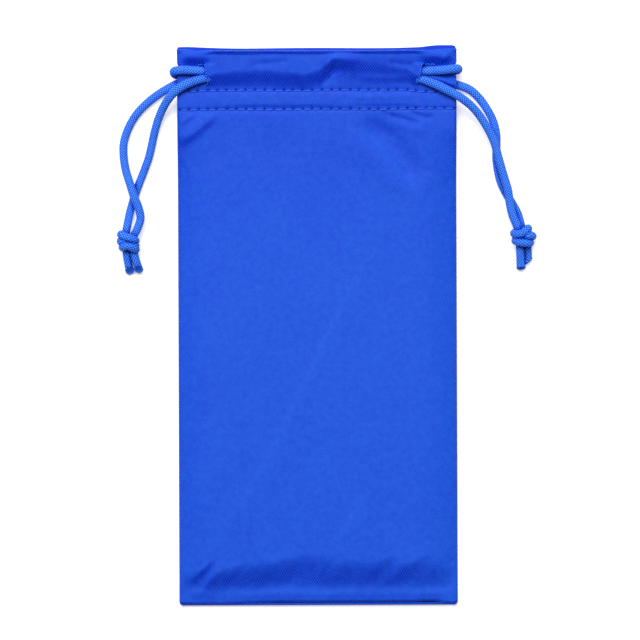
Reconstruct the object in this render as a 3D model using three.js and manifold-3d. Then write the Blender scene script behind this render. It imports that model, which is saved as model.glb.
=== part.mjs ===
// Drawstring eyeglass pouch, lying flat with its mouth towards +Y.
// Millimetres, +Z up. The surface it lies on is z = 0, and the origin is the middle of its underside.
import * as THREE from 'three';
import * as BufferGeometryUtils from 'three/addons/utils/BufferGeometryUtils.js';
import Module from 'manifold-3d';

const wasm = await Module();
wasm.setup();

// Cloth bag
const BAG_WIDTH = 90;
const BAG_LENGTH = 180;
const CLOTH = 0.5;            // thickness of the microfibre cloth
const GAP = 0.3;              // clearance between neighbouring pieces
const POCKET_HEIGHT = 4.6;    // clear height inside the middle of the pocket
const MOUTH_HEIGHT = 0.4;     // clear height of the mouth over the cords that cross in the back hem
const SIDE_SWELL = 14;        // how far in from a side edge the front reaches its full height
const BOTTOM_SWELL = 14;      // how far up from the bottom edge the front reaches its full height
const FRONT_SETBACK = 1;      // the front mouth edge lies this far below the back one

// Hems and the channels that hold the cords
const HEM_DEPTH = 22.5;       // from the mouth edge to the free edge of the turned-in layer
const CHANNEL_TOP = 2.5;      // from the mouth edge to the full height of the channel
const CHANNEL_DEPTH = 14.0;   // from the mouth edge to the upper stitching that closes the channel
const CHANNEL_SLOPE = 1.8;    // length over which the channel opens and closes
const HEM_RAMP = 12;          // length over which the body rises to the hem
const FOLD_LENGTH = 1.6;      // length of the rounded fold at the mouth

// Cords
const CORD = 2.6;             // diameter of the round braided cord
const CORD_FLAT = 1.7;        // height of the cord where the channel presses it flat
const CORD_WIDE = 2.9;        // width of the cord there
const CORD_SIDES = 8;
const RUN_STEPS = 20;         // steps along a cord inside a channel
const RUN_SWAP = 5;           // half the length over which it changes sides at the crossing
const RUN_DIP = 0.6;          // how far a run dips in the front channel, at its ends in the slits
const RUN_DIP_LENGTH = 5;
const STRAND_SPACING = 3.2;   // between the two strands that share a slit
const FRONT_CROSSING_X = 8;   // where the two cords cross inside the front channel
const BACK_CROSSING_X = 19;   // where they cross inside the back channel
const CROSSING_HALF = 11;     // half the length of a crossing
const TAIL_STEPS = 18;
const END_STEPS = 4;

// A cord's turn round a side edge
const TURN_REACH = 1.0;       // how far its middle lies beyond the edge
const TURN_STEPS = 30;
// Its bend: distances in from its farthest point, and how far it has left the straight stretch there
const TURN_BEND = [[4.5, 0], [1.8, 0.2], [0.4, 1.4]];
const SLIT_DIP = 0.4;         // how far a turn dips at its end in the front slit
const SLIT_RISE = 0.45;       // and how far it rises at its end in the back slit

// Sewn slits, one in the outer layer of each hem at each side
const SLIT_X = 34.8;
const SLIT_HALF_SPREAD = 3.5; // half the length in x over which the cords spread the slit
const SLIT_LENGTH = 6.3;
const SLIT_BELOW_MOUTH = 9.0; // from the mouth edge to the middle of the slit

// Seams inside the bag
const SEAM_WIDTH = 5;
const SEAM_THICKNESS = 0.6;
const SEAM_INSET = 0.6;

// Knots and cord ends
const KNOT_WIDTH = 7.4;
const KNOT_LENGTH = 7.2;
const KNOT_WRAP_PITCH = 2.1;
const KNOT_TURNS = 2;
const KNOT_STEPS = 10;
const KNOT_CORE = 5.8;
const CORE_SIDES = 12;
const CORE_ROUND = 0.75;      // size of the core's bevelled ends
const WRAP_STEPS = 28;

const CLOTH_COLOUR = 0x2148d6;
const CORD_COLOUR = 0x3a74f2;
const SEAM_COLOUR = 0x1c3cb8;

// Values that follow from the sizes above
const HALF_WIDTH = BAG_WIDTH / 2;
const HALF_LENGTH = BAG_LENGTH / 2;
const CORD_RADIUS = CORD / 2;
const SLIT_Y = HALF_LENGTH - SLIT_BELOW_MOUTH;
const TURN_Y = SLIT_Y + STRAND_SPACING / 2;
const TAIL_Y = SLIT_Y - STRAND_SPACING / 2;
const HEM_END_Y = HALF_LENGTH - HEM_DEPTH;
const CHANNEL_Y = HALF_LENGTH - CHANNEL_DEPTH;
const HEM_SLOPE = SLIT_X - 10.5;            // the turned-in layers start to close towards the edge here
const SLOPE_IN = SLIT_X - 4.5;              // the channel starts to flatten towards the edge here
const SLOPE_OUT = SLIT_X + 1.2;             // and it is flat from here to the side edge
const CROSSING_RISE = CORD_FLAT + GAP;
const LAYER = CLOTH + GAP;                  // one cloth layer and the clearance above it

// Underside of each layer at the middle of the bag and at its side edges
const MID = { backOuter: 0 };
MID.backInner = MID.backOuter + LAYER + CORD_FLAT + GAP;
MID.frontInner = MID.backInner + CLOTH + CROSSING_RISE + MOUTH_HEIGHT;
MID.frontOuter = MID.frontInner + LAYER + CORD_FLAT + GAP;
const EDGE = { backOuter: CORD + GAP };
EDGE.backInner = EDGE.backOuter + LAYER;
EDGE.frontInner = EDGE.backInner + LAYER;
EDGE.frontOuter = EDGE.frontInner + LAYER;
const OVER_EDGE_Z = EDGE.frontOuter + LAYER + CORD_RADIUS;
const UNDER_EDGE_Z = CORD_RADIUS + 0.05;
const EDGE_MIDDLE_Z = (OVER_EDGE_Z + UNDER_EDGE_Z) / 2;
const SEAM_Z = CLOTH + GAP;
const BODY_EDGE_Z = SEAM_Z + SEAM_THICKNESS + GAP;
const POCKET_Z = CLOTH + POCKET_HEIGHT;

function smooth(from, to, value) {
  const t = Math.min(Math.max((value - from) / (to - from), 0), 1);
  return t * t * (3 - 2 * t);
}

function mix(a, b, share) {
  return a + (b - a) * share;
}

function bump(value, centre, half) {
  return smooth(half, 0, Math.abs(value - centre));
}

// Share of the hem's form, 0 on the body and 1 from the free edge of the turned-in layer up
function hemShare(y) {
  return smooth(HEM_END_Y - HEM_RAMP, HEM_END_Y, y);
}

// Share of the channel's height, 1 between its stitching and its mouth
function channelShare(y, mouth) {
  const low = smooth(CHANNEL_Y, CHANNEL_Y + CHANNEL_SLOPE, y);
  const high = smooth(mouth, mouth - CHANNEL_TOP, y);
  return low * high;
}

// The bag is drawn in a little where a cord turns round its side edge
function halfWidth(y) {
  return HALF_WIDTH - 1.7 * bump(y, TURN_Y, 4.5);
}

// Underside of the back cloth's outer layer
function backOuter(x, y) {
  const lift = smooth(SLOPE_IN + 1, SLOPE_OUT + 1.5, Math.abs(x));
  return mix(0, EDGE.backOuter, lift * hemShare(y));
}

// Underside of the layer that is turned in behind the back hem
function backInner(x, y) {
  const channel = channelShare(y, HALF_LENGTH);
  const crossing = CROSSING_RISE * bump(x, BACK_CROSSING_X, CROSSING_HALF);
  const middle = mix(LAYER, MID.backInner + crossing, channel);
  const side = smooth(HEM_SLOPE, SLOPE_IN, Math.abs(x));
  return Math.max(mix(middle, mix(LAYER, EDGE.backInner, Math.max(channel, hemShare(y))), side),
    backOuter(x, y) + LAYER);
}

// Underside of the layer that is turned in behind the front hem
function frontInner(x, y) {
  const side = smooth(HEM_SLOPE, SLOPE_IN, Math.abs(x));
  return mix(MID.frontInner, EDGE.frontInner, side);
}

// Underside of the front cloth's outer layer
function frontOuter(x, y) {
  const fromSide = smooth(0, SIDE_SWELL, HALF_WIDTH - Math.abs(x));
  const fromBottom = smooth(0, BOTTOM_SWELL, y + HALF_LENGTH);
  const body = mix(BODY_EDGE_Z, POCKET_Z, fromSide * fromBottom);
  const mouth = HALF_LENGTH - FRONT_SETBACK;
  const crossing = CROSSING_RISE * bump(x, FRONT_CROSSING_X, CROSSING_HALF);
  const seated = MID.frontInner + LAYER;
  const middle = mix(seated, MID.frontOuter + crossing, channelShare(y, mouth));
  const side = smooth(SLOPE_IN, SLOPE_OUT, Math.abs(x));
  const flat = smooth(HEM_SLOPE, SLOPE_OUT, Math.abs(x));
  const hem = mix(middle, EDGE.frontOuter, Math.max(side, flat * (1 - channelShare(y, mouth))));
  return mix(body, Math.max(hem, frontInner(x, y) + LAYER), hemShare(y));
}

// Places along the length at which a cloth's form is drawn, from its bottom edge to its mouth fold
function lengthStations(mouth) {
  const bottom = [0, 0.2, 0.5, 1].map((share) => -HALF_LENGTH + share * BOTTOM_SWELL);
  const rampStart = HEM_END_Y - HEM_RAMP;
  const body = [0.35, 0.7].map((share) => mix(-HALF_LENGTH + BOTTOM_SWELL, rampStart, share));
  const ramp = [0, 0.3, 0.6].map((share) => rampStart + share * HEM_RAMP);
  const stitched = [HEM_END_Y, (HEM_END_Y + CHANNEL_Y) / 2, CHANNEL_Y];
  const channel = [CHANNEL_Y + CHANNEL_SLOPE / 2, CHANNEL_Y + CHANNEL_SLOPE, TURN_Y, mouth - CHANNEL_TOP];
  return [...bottom, ...body, ...ramp, ...stitched, ...channel, mouth - FOLD_LENGTH];
}

// Places across the width at which a cloth's form is drawn
function widthStations() {
  const side = [HEM_SLOPE, mix(HEM_SLOPE, SLOPE_IN, 0.5), SLOPE_IN, (SLOPE_IN + SLOPE_OUT) / 2, SLOPE_OUT, SLIT_X + SLIT_HALF_SPREAD,
    HALF_WIDTH - 2.5, HALF_WIDTH];
  const crossings = [FRONT_CROSSING_X, BACK_CROSSING_X].flatMap(
    (x) => [-1, -0.5, 0, 0.5, 1].map((share) => x + share * CROSSING_HALF));
  const inside = crossings.filter((x) => Math.abs(x) < HEM_SLOPE - 1);
  const all = [...side, ...side.map((x) => -x), ...inside].sort((a, b) => a - b);
  return all.filter((x, i) => i === 0 || x - all[i - 1] > 1);
}

// Closed ring along one cloth and its turned-in layer, in the plane x.
// It is a ribbon: a row of points on the cloth's outside and a row on its inside.
function clothRing(x, outer, inner, mouth, outerIsTop) {
  const sign = outerIsTop ? 1 : -1;
  const faces = (height) => (outerIsTop ? [height + CLOTH, height] : [height, height + CLOTH]);
  const at = (y) => Math.sign(x) * Math.min(Math.abs(x), halfWidth(y));
  const pairs = [];
  const ys = lengthStations(mouth);
  for (const y of ys) {
    const [outside, inside] = faces(outer(x, y));
    pairs.push([[at(y), y, outside], [at(y), y, inside]]);
  }
  const foldStart = mouth - FOLD_LENGTH;
  const top = faces(outer(x, foldStart))[0];
  const bottom = faces(inner(x, foldStart))[1];
  const middle = (top + bottom) / 2;
  const half = (top - bottom) / 2;
  for (const share of [0.72, 0, -0.72]) {
    const back = Math.abs(share) * 0.6;
    const outside = [at(mouth), mouth - back, middle + half * share];
    const inside = [at(mouth), mouth - back - CLOTH, middle + (half - sign * CLOTH) * share * 0.8];
    pairs.push([outside, inside]);
  }
  for (const y of ys.filter((value) => value >= HEM_END_Y).reverse()) {
    const [inside, outside] = faces(inner(x, y));
    pairs.push([[at(y), y, outside], [at(y), y, inside]]);
  }
  return [...pairs.map((pair) => pair[0]), ...pairs.map((pair) => pair[1]).reverse()];
}

// Closed body through a row of rings. Each ring is a ribbon, so its ends are filled across its width.
function loft(rings) {
  const count = rings[0].length;
  const index = [];
  for (let r = 0; r + 1 < rings.length; r += 1) {
    for (let i = 0; i < count; i += 1) {
      const a = r * count + i;
      const b = r * count + (i + 1) % count;
      index.push(a, b, b + count, a, b + count, a + count);
    }
  }
  const last = (rings.length - 1) * count;
  for (let i = 0; i + 1 < count / 2; i += 1) {
    const [a, b, c, d] = [i, i + 1, count - 2 - i, count - 1 - i];
    index.push(a, c, b);
    index.push(last + a, last + b, last + c);
    if (c !== d) {
      index.push(a, d, c);
      index.push(last + a, last + c, last + d);
    }
  }
  const geometry = new THREE.BufferGeometry();
  geometry.setAttribute('position', new THREE.Float32BufferAttribute(rings.flat(2), 3));
  geometry.setIndex(index);
  return facingOut(geometry);
}

function signedVolume(geometry) {
  const p = geometry.getAttribute('position');
  const index = geometry.getIndex();
  const a = new THREE.Vector3();
  const b = new THREE.Vector3();
  const c = new THREE.Vector3();
  let volume = 0;
  for (let i = 0; i < index.count; i += 3) {
    a.fromBufferAttribute(p, index.getX(i));
    b.fromBufferAttribute(p, index.getX(i + 1));
    c.fromBufferAttribute(p, index.getX(i + 2));
    volume += a.dot(b.cross(c));
  }
  return volume;
}

// The same closed body with shared points merged and its faces pointing out
function facingOut(geometry) {
  geometry.deleteAttribute('normal');
  geometry.deleteAttribute('uv');
  const merged = BufferGeometryUtils.mergeVertices(geometry, 1e-4);
  if (signedVolume(merged) < 0) {
    const index = merged.getIndex();
    for (let i = 0; i < index.count; i += 3) {
      const first = index.getX(i);
      index.setX(i, index.getX(i + 1));
      index.setX(i + 1, first);
    }
  }
  return merged;
}

function toSolid(geometry) {
  return new wasm.Manifold(new wasm.Mesh({
    numProp: 3,
    vertProperties: new Float32Array(geometry.getAttribute('position').array),
    triVerts: new Uint32Array(geometry.getIndex().array),
  }));
}

function toGeometry(solid) {
  const mesh = solid.getMesh();
  const geometry = new THREE.BufferGeometry();
  geometry.setAttribute('position', new THREE.Float32BufferAttribute(mesh.vertProperties, 3));
  geometry.setIndex([...mesh.triVerts]);
  return facingOut(geometry);
}

function box(x0, x1, y0, y1, z0, z1) {
  const geometry = new THREE.BoxGeometry(x1 - x0, y1 - y0, z1 - z0);
  geometry.translate((x0 + x1) / 2, (y0 + y1) / 2, (z0 + z1) / 2);
  return facingOut(geometry);
}

// One cloth with its turned hem, cut through its outer layer at the two slits
function cloth(outer, inner, mouth, outerIsTop, cutFrom, cutTo) {
  const rings = widthStations().map((x) => clothRing(x, outer, inner, mouth, outerIsTop));
  let solid = toSolid(loft(rings));
  for (const side of [-1, 1]) {
    const x0 = side * SLIT_X - SLIT_HALF_SPREAD;
    const x1 = side * SLIT_X + SLIT_HALF_SPREAD;
    const half = SLIT_LENGTH / 2;
    solid = solid.subtract(toSolid(box(x0, x1, SLIT_Y - half, SLIT_Y + half, cutFrom, cutTo)));
  }
  return toGeometry(solid);
}

function frontCloth() {
  const cutFrom = EDGE.frontInner + CLOTH + GAP / 2;
  const overall = MID.frontOuter + CROSSING_RISE + CLOTH;
  return cloth(frontOuter, frontInner, HALF_LENGTH - FRONT_SETBACK, true, cutFrom, overall + 1);
}

function backCloth() {
  const cutTo = EDGE.backInner - GAP / 2;
  return cloth(backOuter, backInner, HALF_LENGTH, false, -1, cutTo);
}

// Seam allowances inside the bag: the joined raw edges of both cloths under their overlock thread
function sideSeam(side) {
  const outerX = side * (HALF_WIDTH - SEAM_INSET);
  const innerX = outerX - side * SEAM_WIDTH;
  const low = -HALF_LENGTH + SEAM_INSET + SEAM_WIDTH + GAP;
  const high = HEM_END_Y - HEM_RAMP;
  return box(Math.min(outerX, innerX), Math.max(outerX, innerX), low, high, SEAM_Z, SEAM_Z + SEAM_THICKNESS);
}

function bottomSeam() {
  const half = HALF_WIDTH - SEAM_INSET;
  const low = -HALF_LENGTH + SEAM_INSET;
  return box(-half, half, low, low + SEAM_WIDTH, SEAM_Z, SEAM_Z + SEAM_THICKNESS);
}

function roundCord(points, steps) {
  const section = [];
  for (let i = 0; i < CORD_SIDES; i += 1) {
    const angle = i * 2 * Math.PI / CORD_SIDES;
    section.push(new THREE.Vector2(Math.cos(angle) * CORD_RADIUS, Math.sin(angle) * CORD_RADIUS));
  }
  const path = new THREE.CatmullRomCurve3(points.map((p) => new THREE.Vector3(...p)), false, 'centripetal');
  const settings = { extrudePath: path, steps, bevelEnabled: false };
  return facingOut(new THREE.ExtrudeGeometry(new THREE.Shape(section), settings));
}

const mirrored = (points) => points.map(([x, y, z]) => [-x, y, z]);

// Inside a channel a cord starts low at its own side's slit and ends high at the other one,
// and the two cords pass one over the other where they cross. The channel presses them oval.
function run(side, front, over) {
  const crossing = -side * (front ? FRONT_CROSSING_X : BACK_CROSSING_X);
  const base = (front ? MID.frontInner : 0) + LAYER + CORD_FLAT / 2;
  const dip = front ? RUN_DIP : 0;
  const end = SLIT_X - SLIT_HALF_SPREAD - GAP;
  const rings = [];
  for (let i = 0; i <= RUN_STEPS; i += 1) {
    const x = mix(-end, end, i / RUN_STEPS);
    const across = smooth(crossing - RUN_SWAP, crossing + RUN_SWAP, x);
    const y = mix(TAIL_Y, TURN_Y, across);
    const rise = over ? CROSSING_RISE * bump(x, crossing, CROSSING_HALF - 1) : 0;
    const z = base + rise - dip * smooth(end - RUN_DIP_LENGTH, end, Math.abs(x));
    const ring = [];
    for (let k = 0; k < CORD_SIDES; k += 1) {
      const angle = (k + 0.5) * 2 * Math.PI / CORD_SIDES;
      ring.push([side > 0 ? -x : x, y + Math.cos(angle) * CORD_WIDE / 2, z + Math.sin(angle) * CORD_FLAT / 2]);
    }
    rings.push(ring);
  }
  return loft(rings);
}

// A cord goes out of the front slit, round the side edge and back in through the back slit
function turn(side) {
  const start = SLIT_X - SLIT_HALF_SPREAD + GAP;
  const slitEnd = SLIT_X + SLIT_HALF_SPREAD;
  const reach = HALF_WIDTH + TURN_REACH;
  const over = TURN_BEND.map(([inward, off]) => [reach - inward, TURN_Y, OVER_EDGE_Z - off]);
  const under = TURN_BEND.map(([inward, off]) => [reach - inward, TURN_Y, UNDER_EDGE_Z + off]).reverse();
  const points = [
    [start, TURN_Y, OVER_EDGE_Z - SLIT_DIP],
    [SLIT_X, TURN_Y, OVER_EDGE_Z - SLIT_DIP / 2],
    [slitEnd, TURN_Y, OVER_EDGE_Z],
    ...over,
    [reach, TURN_Y, EDGE_MIDDLE_Z],
    ...under,
    [slitEnd, TURN_Y, UNDER_EDGE_Z],
    [SLIT_X, TURN_Y, UNDER_EDGE_Z + SLIT_RISE / 3],
    [start, TURN_Y, UNDER_EDGE_Z + SLIT_RISE],
  ];
  return roundCord(side > 0 ? points : mirrored(points), TURN_STEPS);
}

// The four free tails, each from its slit to its knot
const TAILS = {
  left_cord_front_tail: [
    [-31.7, 79.4, 7.0], [-34.6, 79.5, 7.15], [-38.2, 79.4, 7.4], [-42.2, 78.2, 7.5], [-46.1, 75.6, 7.15],
    [-49.2, 71.9, 4.9], [-51.2, 67.3, 2.8], [-52.5, 62.7, 1.7], [-53.3, 58.6, 1.4], [-54.3, 54.5, 1.35],
    [-55.8, 50.3, 1.35], [-57.6, 45.7, 1.35], [-59.2, 41.1, 1.35], [-60.3, 37.4, 1.4], [-61.3, 34.0, 1.9],
    [-62.0, 31.0, 2.7],
  ],
  left_cord_back_tail: [
    [-31.7, 79.4, 1.8], [-34.6, 79.4, 1.55], [-38.2, 79.2, 1.4], [-42.2, 78.8, 1.35], [-46.0, 77.7, 1.35],
    [-52.3, 74.0, 1.35], [-57.4, 69.4, 1.35], [-60.5, 64.7, 1.35], [-62.3, 59.6, 1.35], [-62.5, 56.0, 1.5],
    [-61.8, 50.8, 2.2], [-60.2, 45.7, 3.6], [-58.9, 41.6, 4.6], [-57.9, 38.5, 4.5], [-57.6, 34.6, 4.3],
    [-58.7, 31.0, 4.5],
  ],
  right_cord_front_tail: [
    [31.7, 79.4, 7.0], [34.2, 79.4, 7.15], [37.4, 78.5, 7.4], [41.9, 76.1, 7.5], [46.6, 73.2, 7.15],
    [50.7, 69.4, 5.6], [54.3, 64.2, 4.6], [56.9, 59.1, 4.4], [58.4, 53.9, 4.3], [60.0, 48.3, 4.1],
    [61.5, 43.1, 4.35], [62.0, 39.0, 4.5], [62.8, 35.4, 4.4], [64.2, 32.6, 4.5],
  ],
  right_cord_back_tail: [
    [31.7, 79.4, 1.8], [34.6, 79.4, 1.55], [38.2, 79.0, 1.4], [41.6, 78.4, 1.35], [45.4, 77.5, 1.35],
    [49.2, 76.1, 1.35], [52.2, 73.5, 1.35], [54.8, 69.9, 1.35], [56.9, 65.8, 1.35], [57.9, 61.6, 1.35],
    [57.6, 57.5, 1.35], [57.1, 53.0, 1.35], [57.9, 46.7, 1.35], [60.0, 42.6, 1.35], [63.6, 39.2, 1.35],
    [66.2, 36.0, 1.6], [67.5, 32.7, 2.6],
  ],
};

// The knot at the end of each pair of tails, and the two cut ends below it
const KNOTS = { left: [-60.9, 26.8], right: [66.2, 28.3] };
const ENDS = {
  left_cord_front_end: [[-62.3, 22.6, 3.2], [-62.0, 21.2, 2.9], [-61.1, 18.4, 1.6], [-60.9, 16.2, 1.35]],
  left_cord_back_end: [[-59.3, 22.7, 3.2], [-59.0, 21.2, 2.9], [-58.1, 18.4, 1.6], [-57.8, 16.4, 1.35]],
  right_cord_front_end: [[64.6, 24.1, 3.4], [64.8, 22.7, 3.0], [65.5, 20.0, 1.8], [65.7, 17.8, 1.4]],
  right_cord_back_end: [[67.6, 24.1, 3.2], [67.8, 22.9, 2.8], [68.6, 21.0, 1.8], [68.8, 19.4, 1.4]],
};

// A knot: a core with the cord wound round it, lying on the surface
function knot(side) {
  const [x, y] = KNOTS[side];
  const radius = KNOT_WIDTH / 2;
  const half = KNOT_LENGTH / 2;
  const core = KNOT_CORE / 2;
  const narrow = core - CORE_ROUND;
  const profile = [[0, -half], [narrow, -half], [core, CORE_ROUND - half], [core, half - CORE_ROUND],
    [narrow, half], [0, half]].map(([r, h]) => new THREE.Vector2(r, h));
  const coreGeometry = facingOut(new THREE.LatheGeometry(profile, CORE_SIDES));
  const wound = [];
  for (let i = 0; i <= KNOT_TURNS * KNOT_STEPS; i += 1) {
    const angle = i * 2 * Math.PI / KNOT_STEPS;
    const along = (i / KNOT_STEPS - KNOT_TURNS / 2) * KNOT_WRAP_PITCH;
    wound.push([Math.cos(angle) * (radius - CORD_RADIUS), along, Math.sin(angle) * (radius - CORD_RADIUS)]);
  }
  const wrap = roundCord(wound, WRAP_STEPS);
  const geometry = toGeometry(toSolid(coreGeometry).add(toSolid(wrap)));
  geometry.computeBoundingBox();
  geometry.translate(x, y, -geometry.boundingBox.min.z);
  return geometry;
}

const clothMaterial = new THREE.MeshStandardMaterial({ color: CLOTH_COLOUR, roughness: 0.8, metalness: 0 });
const cordMaterial = new THREE.MeshStandardMaterial({ color: CORD_COLOUR, roughness: 0.7, metalness: 0 });
const seamMaterial = new THREE.MeshStandardMaterial({ color: SEAM_COLOUR, roughness: 0.9, metalness: 0 });

const pouch = new THREE.Group();

function addPiece(name, geometry, material) {
  geometry.computeVertexNormals();
  const mesh = new THREE.Mesh(geometry, material.clone());
  mesh.name = name;
  pouch.add(mesh);
}

addPiece('front_cloth', frontCloth(), clothMaterial);
addPiece('back_cloth', backCloth(), clothMaterial);
addPiece('left_side_seam', sideSeam(-1), seamMaterial);
addPiece('right_side_seam', sideSeam(1), seamMaterial);
addPiece('bottom_seam', bottomSeam(), seamMaterial);
addPiece('left_cord_front_run', run(-1, true, false), cordMaterial);
addPiece('right_cord_front_run', run(1, true, true), cordMaterial);
addPiece('left_cord_back_run', run(-1, false, false), cordMaterial);
addPiece('right_cord_back_run', run(1, false, true), cordMaterial);
addPiece('left_cord_turn', turn(1), cordMaterial);
addPiece('right_cord_turn', turn(-1), cordMaterial);
for (const [name, points] of Object.entries(TAILS)) {
  addPiece(name, roundCord(points, TAIL_STEPS), cordMaterial);
}
for (const side of ['left', 'right']) {
  addPiece(`${side}_knot`, knot(side), cordMaterial);
}
for (const [name, points] of Object.entries(ENDS)) {
  addPiece(name, roundCord(points, END_STEPS), cordMaterial);
}

export default pouch;
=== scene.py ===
"""Drawstring eyeglass pouch of blue microfibre, lying flat, with two braided cords knotted at its sides.

Lengths in the shape code are millimetres in the model's frame, +Y towards the mouth and +Z up,
and they turn into metres when a mesh is made.
"""
import math

import bpy
import numpy as np
from bpy.props import FloatProperty, FloatVectorProperty, IntProperty, PointerProperty
from bpy.types import Operator, Panel, PropertyGroup
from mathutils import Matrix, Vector


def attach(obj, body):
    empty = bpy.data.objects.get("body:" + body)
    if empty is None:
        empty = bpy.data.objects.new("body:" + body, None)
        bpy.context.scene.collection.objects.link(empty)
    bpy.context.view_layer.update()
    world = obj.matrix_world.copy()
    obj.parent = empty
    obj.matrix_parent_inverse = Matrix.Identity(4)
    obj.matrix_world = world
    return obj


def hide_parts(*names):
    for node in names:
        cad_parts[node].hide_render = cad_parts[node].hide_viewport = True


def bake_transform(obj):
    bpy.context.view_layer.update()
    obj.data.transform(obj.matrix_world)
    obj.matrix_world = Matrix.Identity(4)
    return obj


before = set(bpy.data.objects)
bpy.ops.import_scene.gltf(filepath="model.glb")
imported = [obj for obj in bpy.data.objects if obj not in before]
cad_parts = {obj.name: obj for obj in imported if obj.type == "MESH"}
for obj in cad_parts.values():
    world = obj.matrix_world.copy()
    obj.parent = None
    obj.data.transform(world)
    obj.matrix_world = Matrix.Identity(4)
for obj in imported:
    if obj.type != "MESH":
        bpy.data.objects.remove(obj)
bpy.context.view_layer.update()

bl_info = {
    "name": "Drawstring Eyeglass Pouch",
    "version": (1, 0, 0),
    "blender": (4, 5, 0),
    "location": "View3D > Sidebar > Pouch",
    "description": "Builds a microfibre drawstring pouch with braided cords",
    "category": "Add Mesh",
}

MM = 0.001
SIDE_NAMES = {-1: "left", 1: "right"}
LAYERS = ((True, "front"), (False, "back"))

# Outline of the bag
HALF_WIDTH = 44.95
HALF_LENGTH = 90.0
CORNER = 1.3            # corner radius of the outline
CLOTH = 0.45            # thickness of the cloth
EDGE_ROLL = 1.15        # radius of the rounded cloth edges at the seams
TURN_Y = 82.3           # where the cords turn round the side edges
TURN_HALF = 2.6         # half the length of an edge that a turn draws in
TURN_BITE = 0.8         # how far it draws the edge in

# Levels of the body
BODY_TOP = 5.4          # top of the front in the middle of the bag
BODY_SEAM = 1.35        # height of the side seam along the body
SIDE_SWELL = 13.0       # how far in from a side seam the front reaches its full height
ALLOWANCE_RIDGE = 0.30  # height of the ridge that the bottom seam's allowance makes in the front
ALLOWANCE_MIDDLE = 3.4  # distance of the ridge from the bottom seam
ALLOWANCE_HALF = 1.9    # half its width
HEM_RISE = 0.35         # how much the front rises towards the hem
BODY_WAVES = ((0.06, 5, 34.0), (0.03, 6, 11.0))     # unevenness of the body: height, seed and length

# Levels of the hem
HEM_SEAM = 4.35         # height of the side seam along the hem, above the cords behind it
HEM_LIFT = 2.9          # height of the back's underside at the sides of the hem
HEM_SIDE = 5.5          # top of the front outside the slits, where the cords lie on it
CORNER_TOP = 6.9        # top of the front above the turns
CORNER_MOUTH = 5.9      # top of the front at the corners of the mouth
CORNER_RISE_Y = (83.2, 86.5)    # where the front rises to the first of these, by y
CORNER_RISE_X = (45.0, 40.5)    # and by |x|
CORNER_FALL_Y = (87.0, 89.0)    # where it falls to the second one
SIDES_FROM = (31.0, 38.5)       # |x| between which the channel turns into the sides
SLIT_STEP = 0.45        # half the width of that turn at a slit
CREST = 8.20            # top of the front over the cords
CREST_Y = 86.4          # where it has that height
CREST_SLOPE = 0.04      # how much it falls away from there for each mm
STITCHED = 5.9          # top of the front between the rows
ROWS_SWELL = 0.14       # how much the cloth swells between the rows
FRONT_FOLD_TOP = 8.75   # top of the rounded fold at the front's mouth
BEAD_Y = 86.7           # where that fold ends
FRONT_TURNED = 5.2      # underside of the front's turned-in layer
BACK_TURNED = 3.0       # upper side of the back's turned-in layer over the cords
LAYER_GAP = 0.06        # least gap between a cloth and its turned-in layer
SEAM_GAP = 0.08         # gap between a turned-in layer and the side seam
FRONT_CROSSING = 8.0    # x where the cords cross in the front channel
BACK_CROSSING = 19.0    # x where they cross in the back channel
CROSSING_Y = 84.8       # y of the bulge over the front crossing
CROSSING_LIFT = 1.1     # how much higher the front lies there
CROSSING_HALF_X = 8.0   # half the width of that bulge
CROSSING_HALF_Y = 3.8   # half its length
MOUTH_PART = 0.9        # how far the two cloths part at the mouth's corners
MOUTH_PART_Y = (85.5, 88.6)     # where they part
TURNED_SIDES = (22.0, 36.0)     # |x| between which the turned-in layers come to the side seam's height
LIFT_X = (31.3, 37.5)   # |x| between which the back's underside lifts
LIFT_Y = (58.0, 70.0)   # and between which y
BACK_RISE = 0.4         # how much the back's underside rises at the mouth
BACK_RISE_Y = (87.0, 89.6)      # where it rises
BACK_FLAT = 1.15        # upper side of the back's turned-in layer where no cord is under it
BACK_FLAT_RISE = 0.75   # how much that rises at the mouth
BACK_FLAT_Y = (86.0, 89.0)      # where it rises
LONG_FALL_Y = (75.6, 86.5)      # where the rest of the channel's fall towards the upper stitches is

# Places along the hem
FRONT_MOUTH = 88.25     # where the front's fold ends
BACK_MOUTH = 89.62      # where the back's fold ends
MOUTH_TOP = 90.05       # where the outline's corners end
HEM_END = 67.5          # free edge of the turned-in layers
HEM_FROM = 57.0         # where the front starts to rise into the hem
UPPER_ROW = 75.45       # upper row of stitches, which closes the channel
LOWER_ROW = 69.33       # lower row of stitches
BEND_FROM = 85.1        # rows of the mesh beyond this follow the mouth's line
FOLD_FROM = 88.0        # start of the mouth's fold before it follows that line
FOLD_DEPTH = 0.42       # depth of the rounded fold at the mouth

# Slits that the cords come out of
SLIT_X = 35.0
SLIT_GAP = 0.8
SLIT_LOW = 77.8
SLIT_HIGH = 83.6
SLIT_MIDDLE = 81.0
# Left and right slit: how far its lower and upper part lie further out, and from which y to which it turns
SLIT_LEANS = ((0.2, 0.75, 77.6, 79.6), (-2.3, -1.0, 77.5, 84.0))

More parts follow.
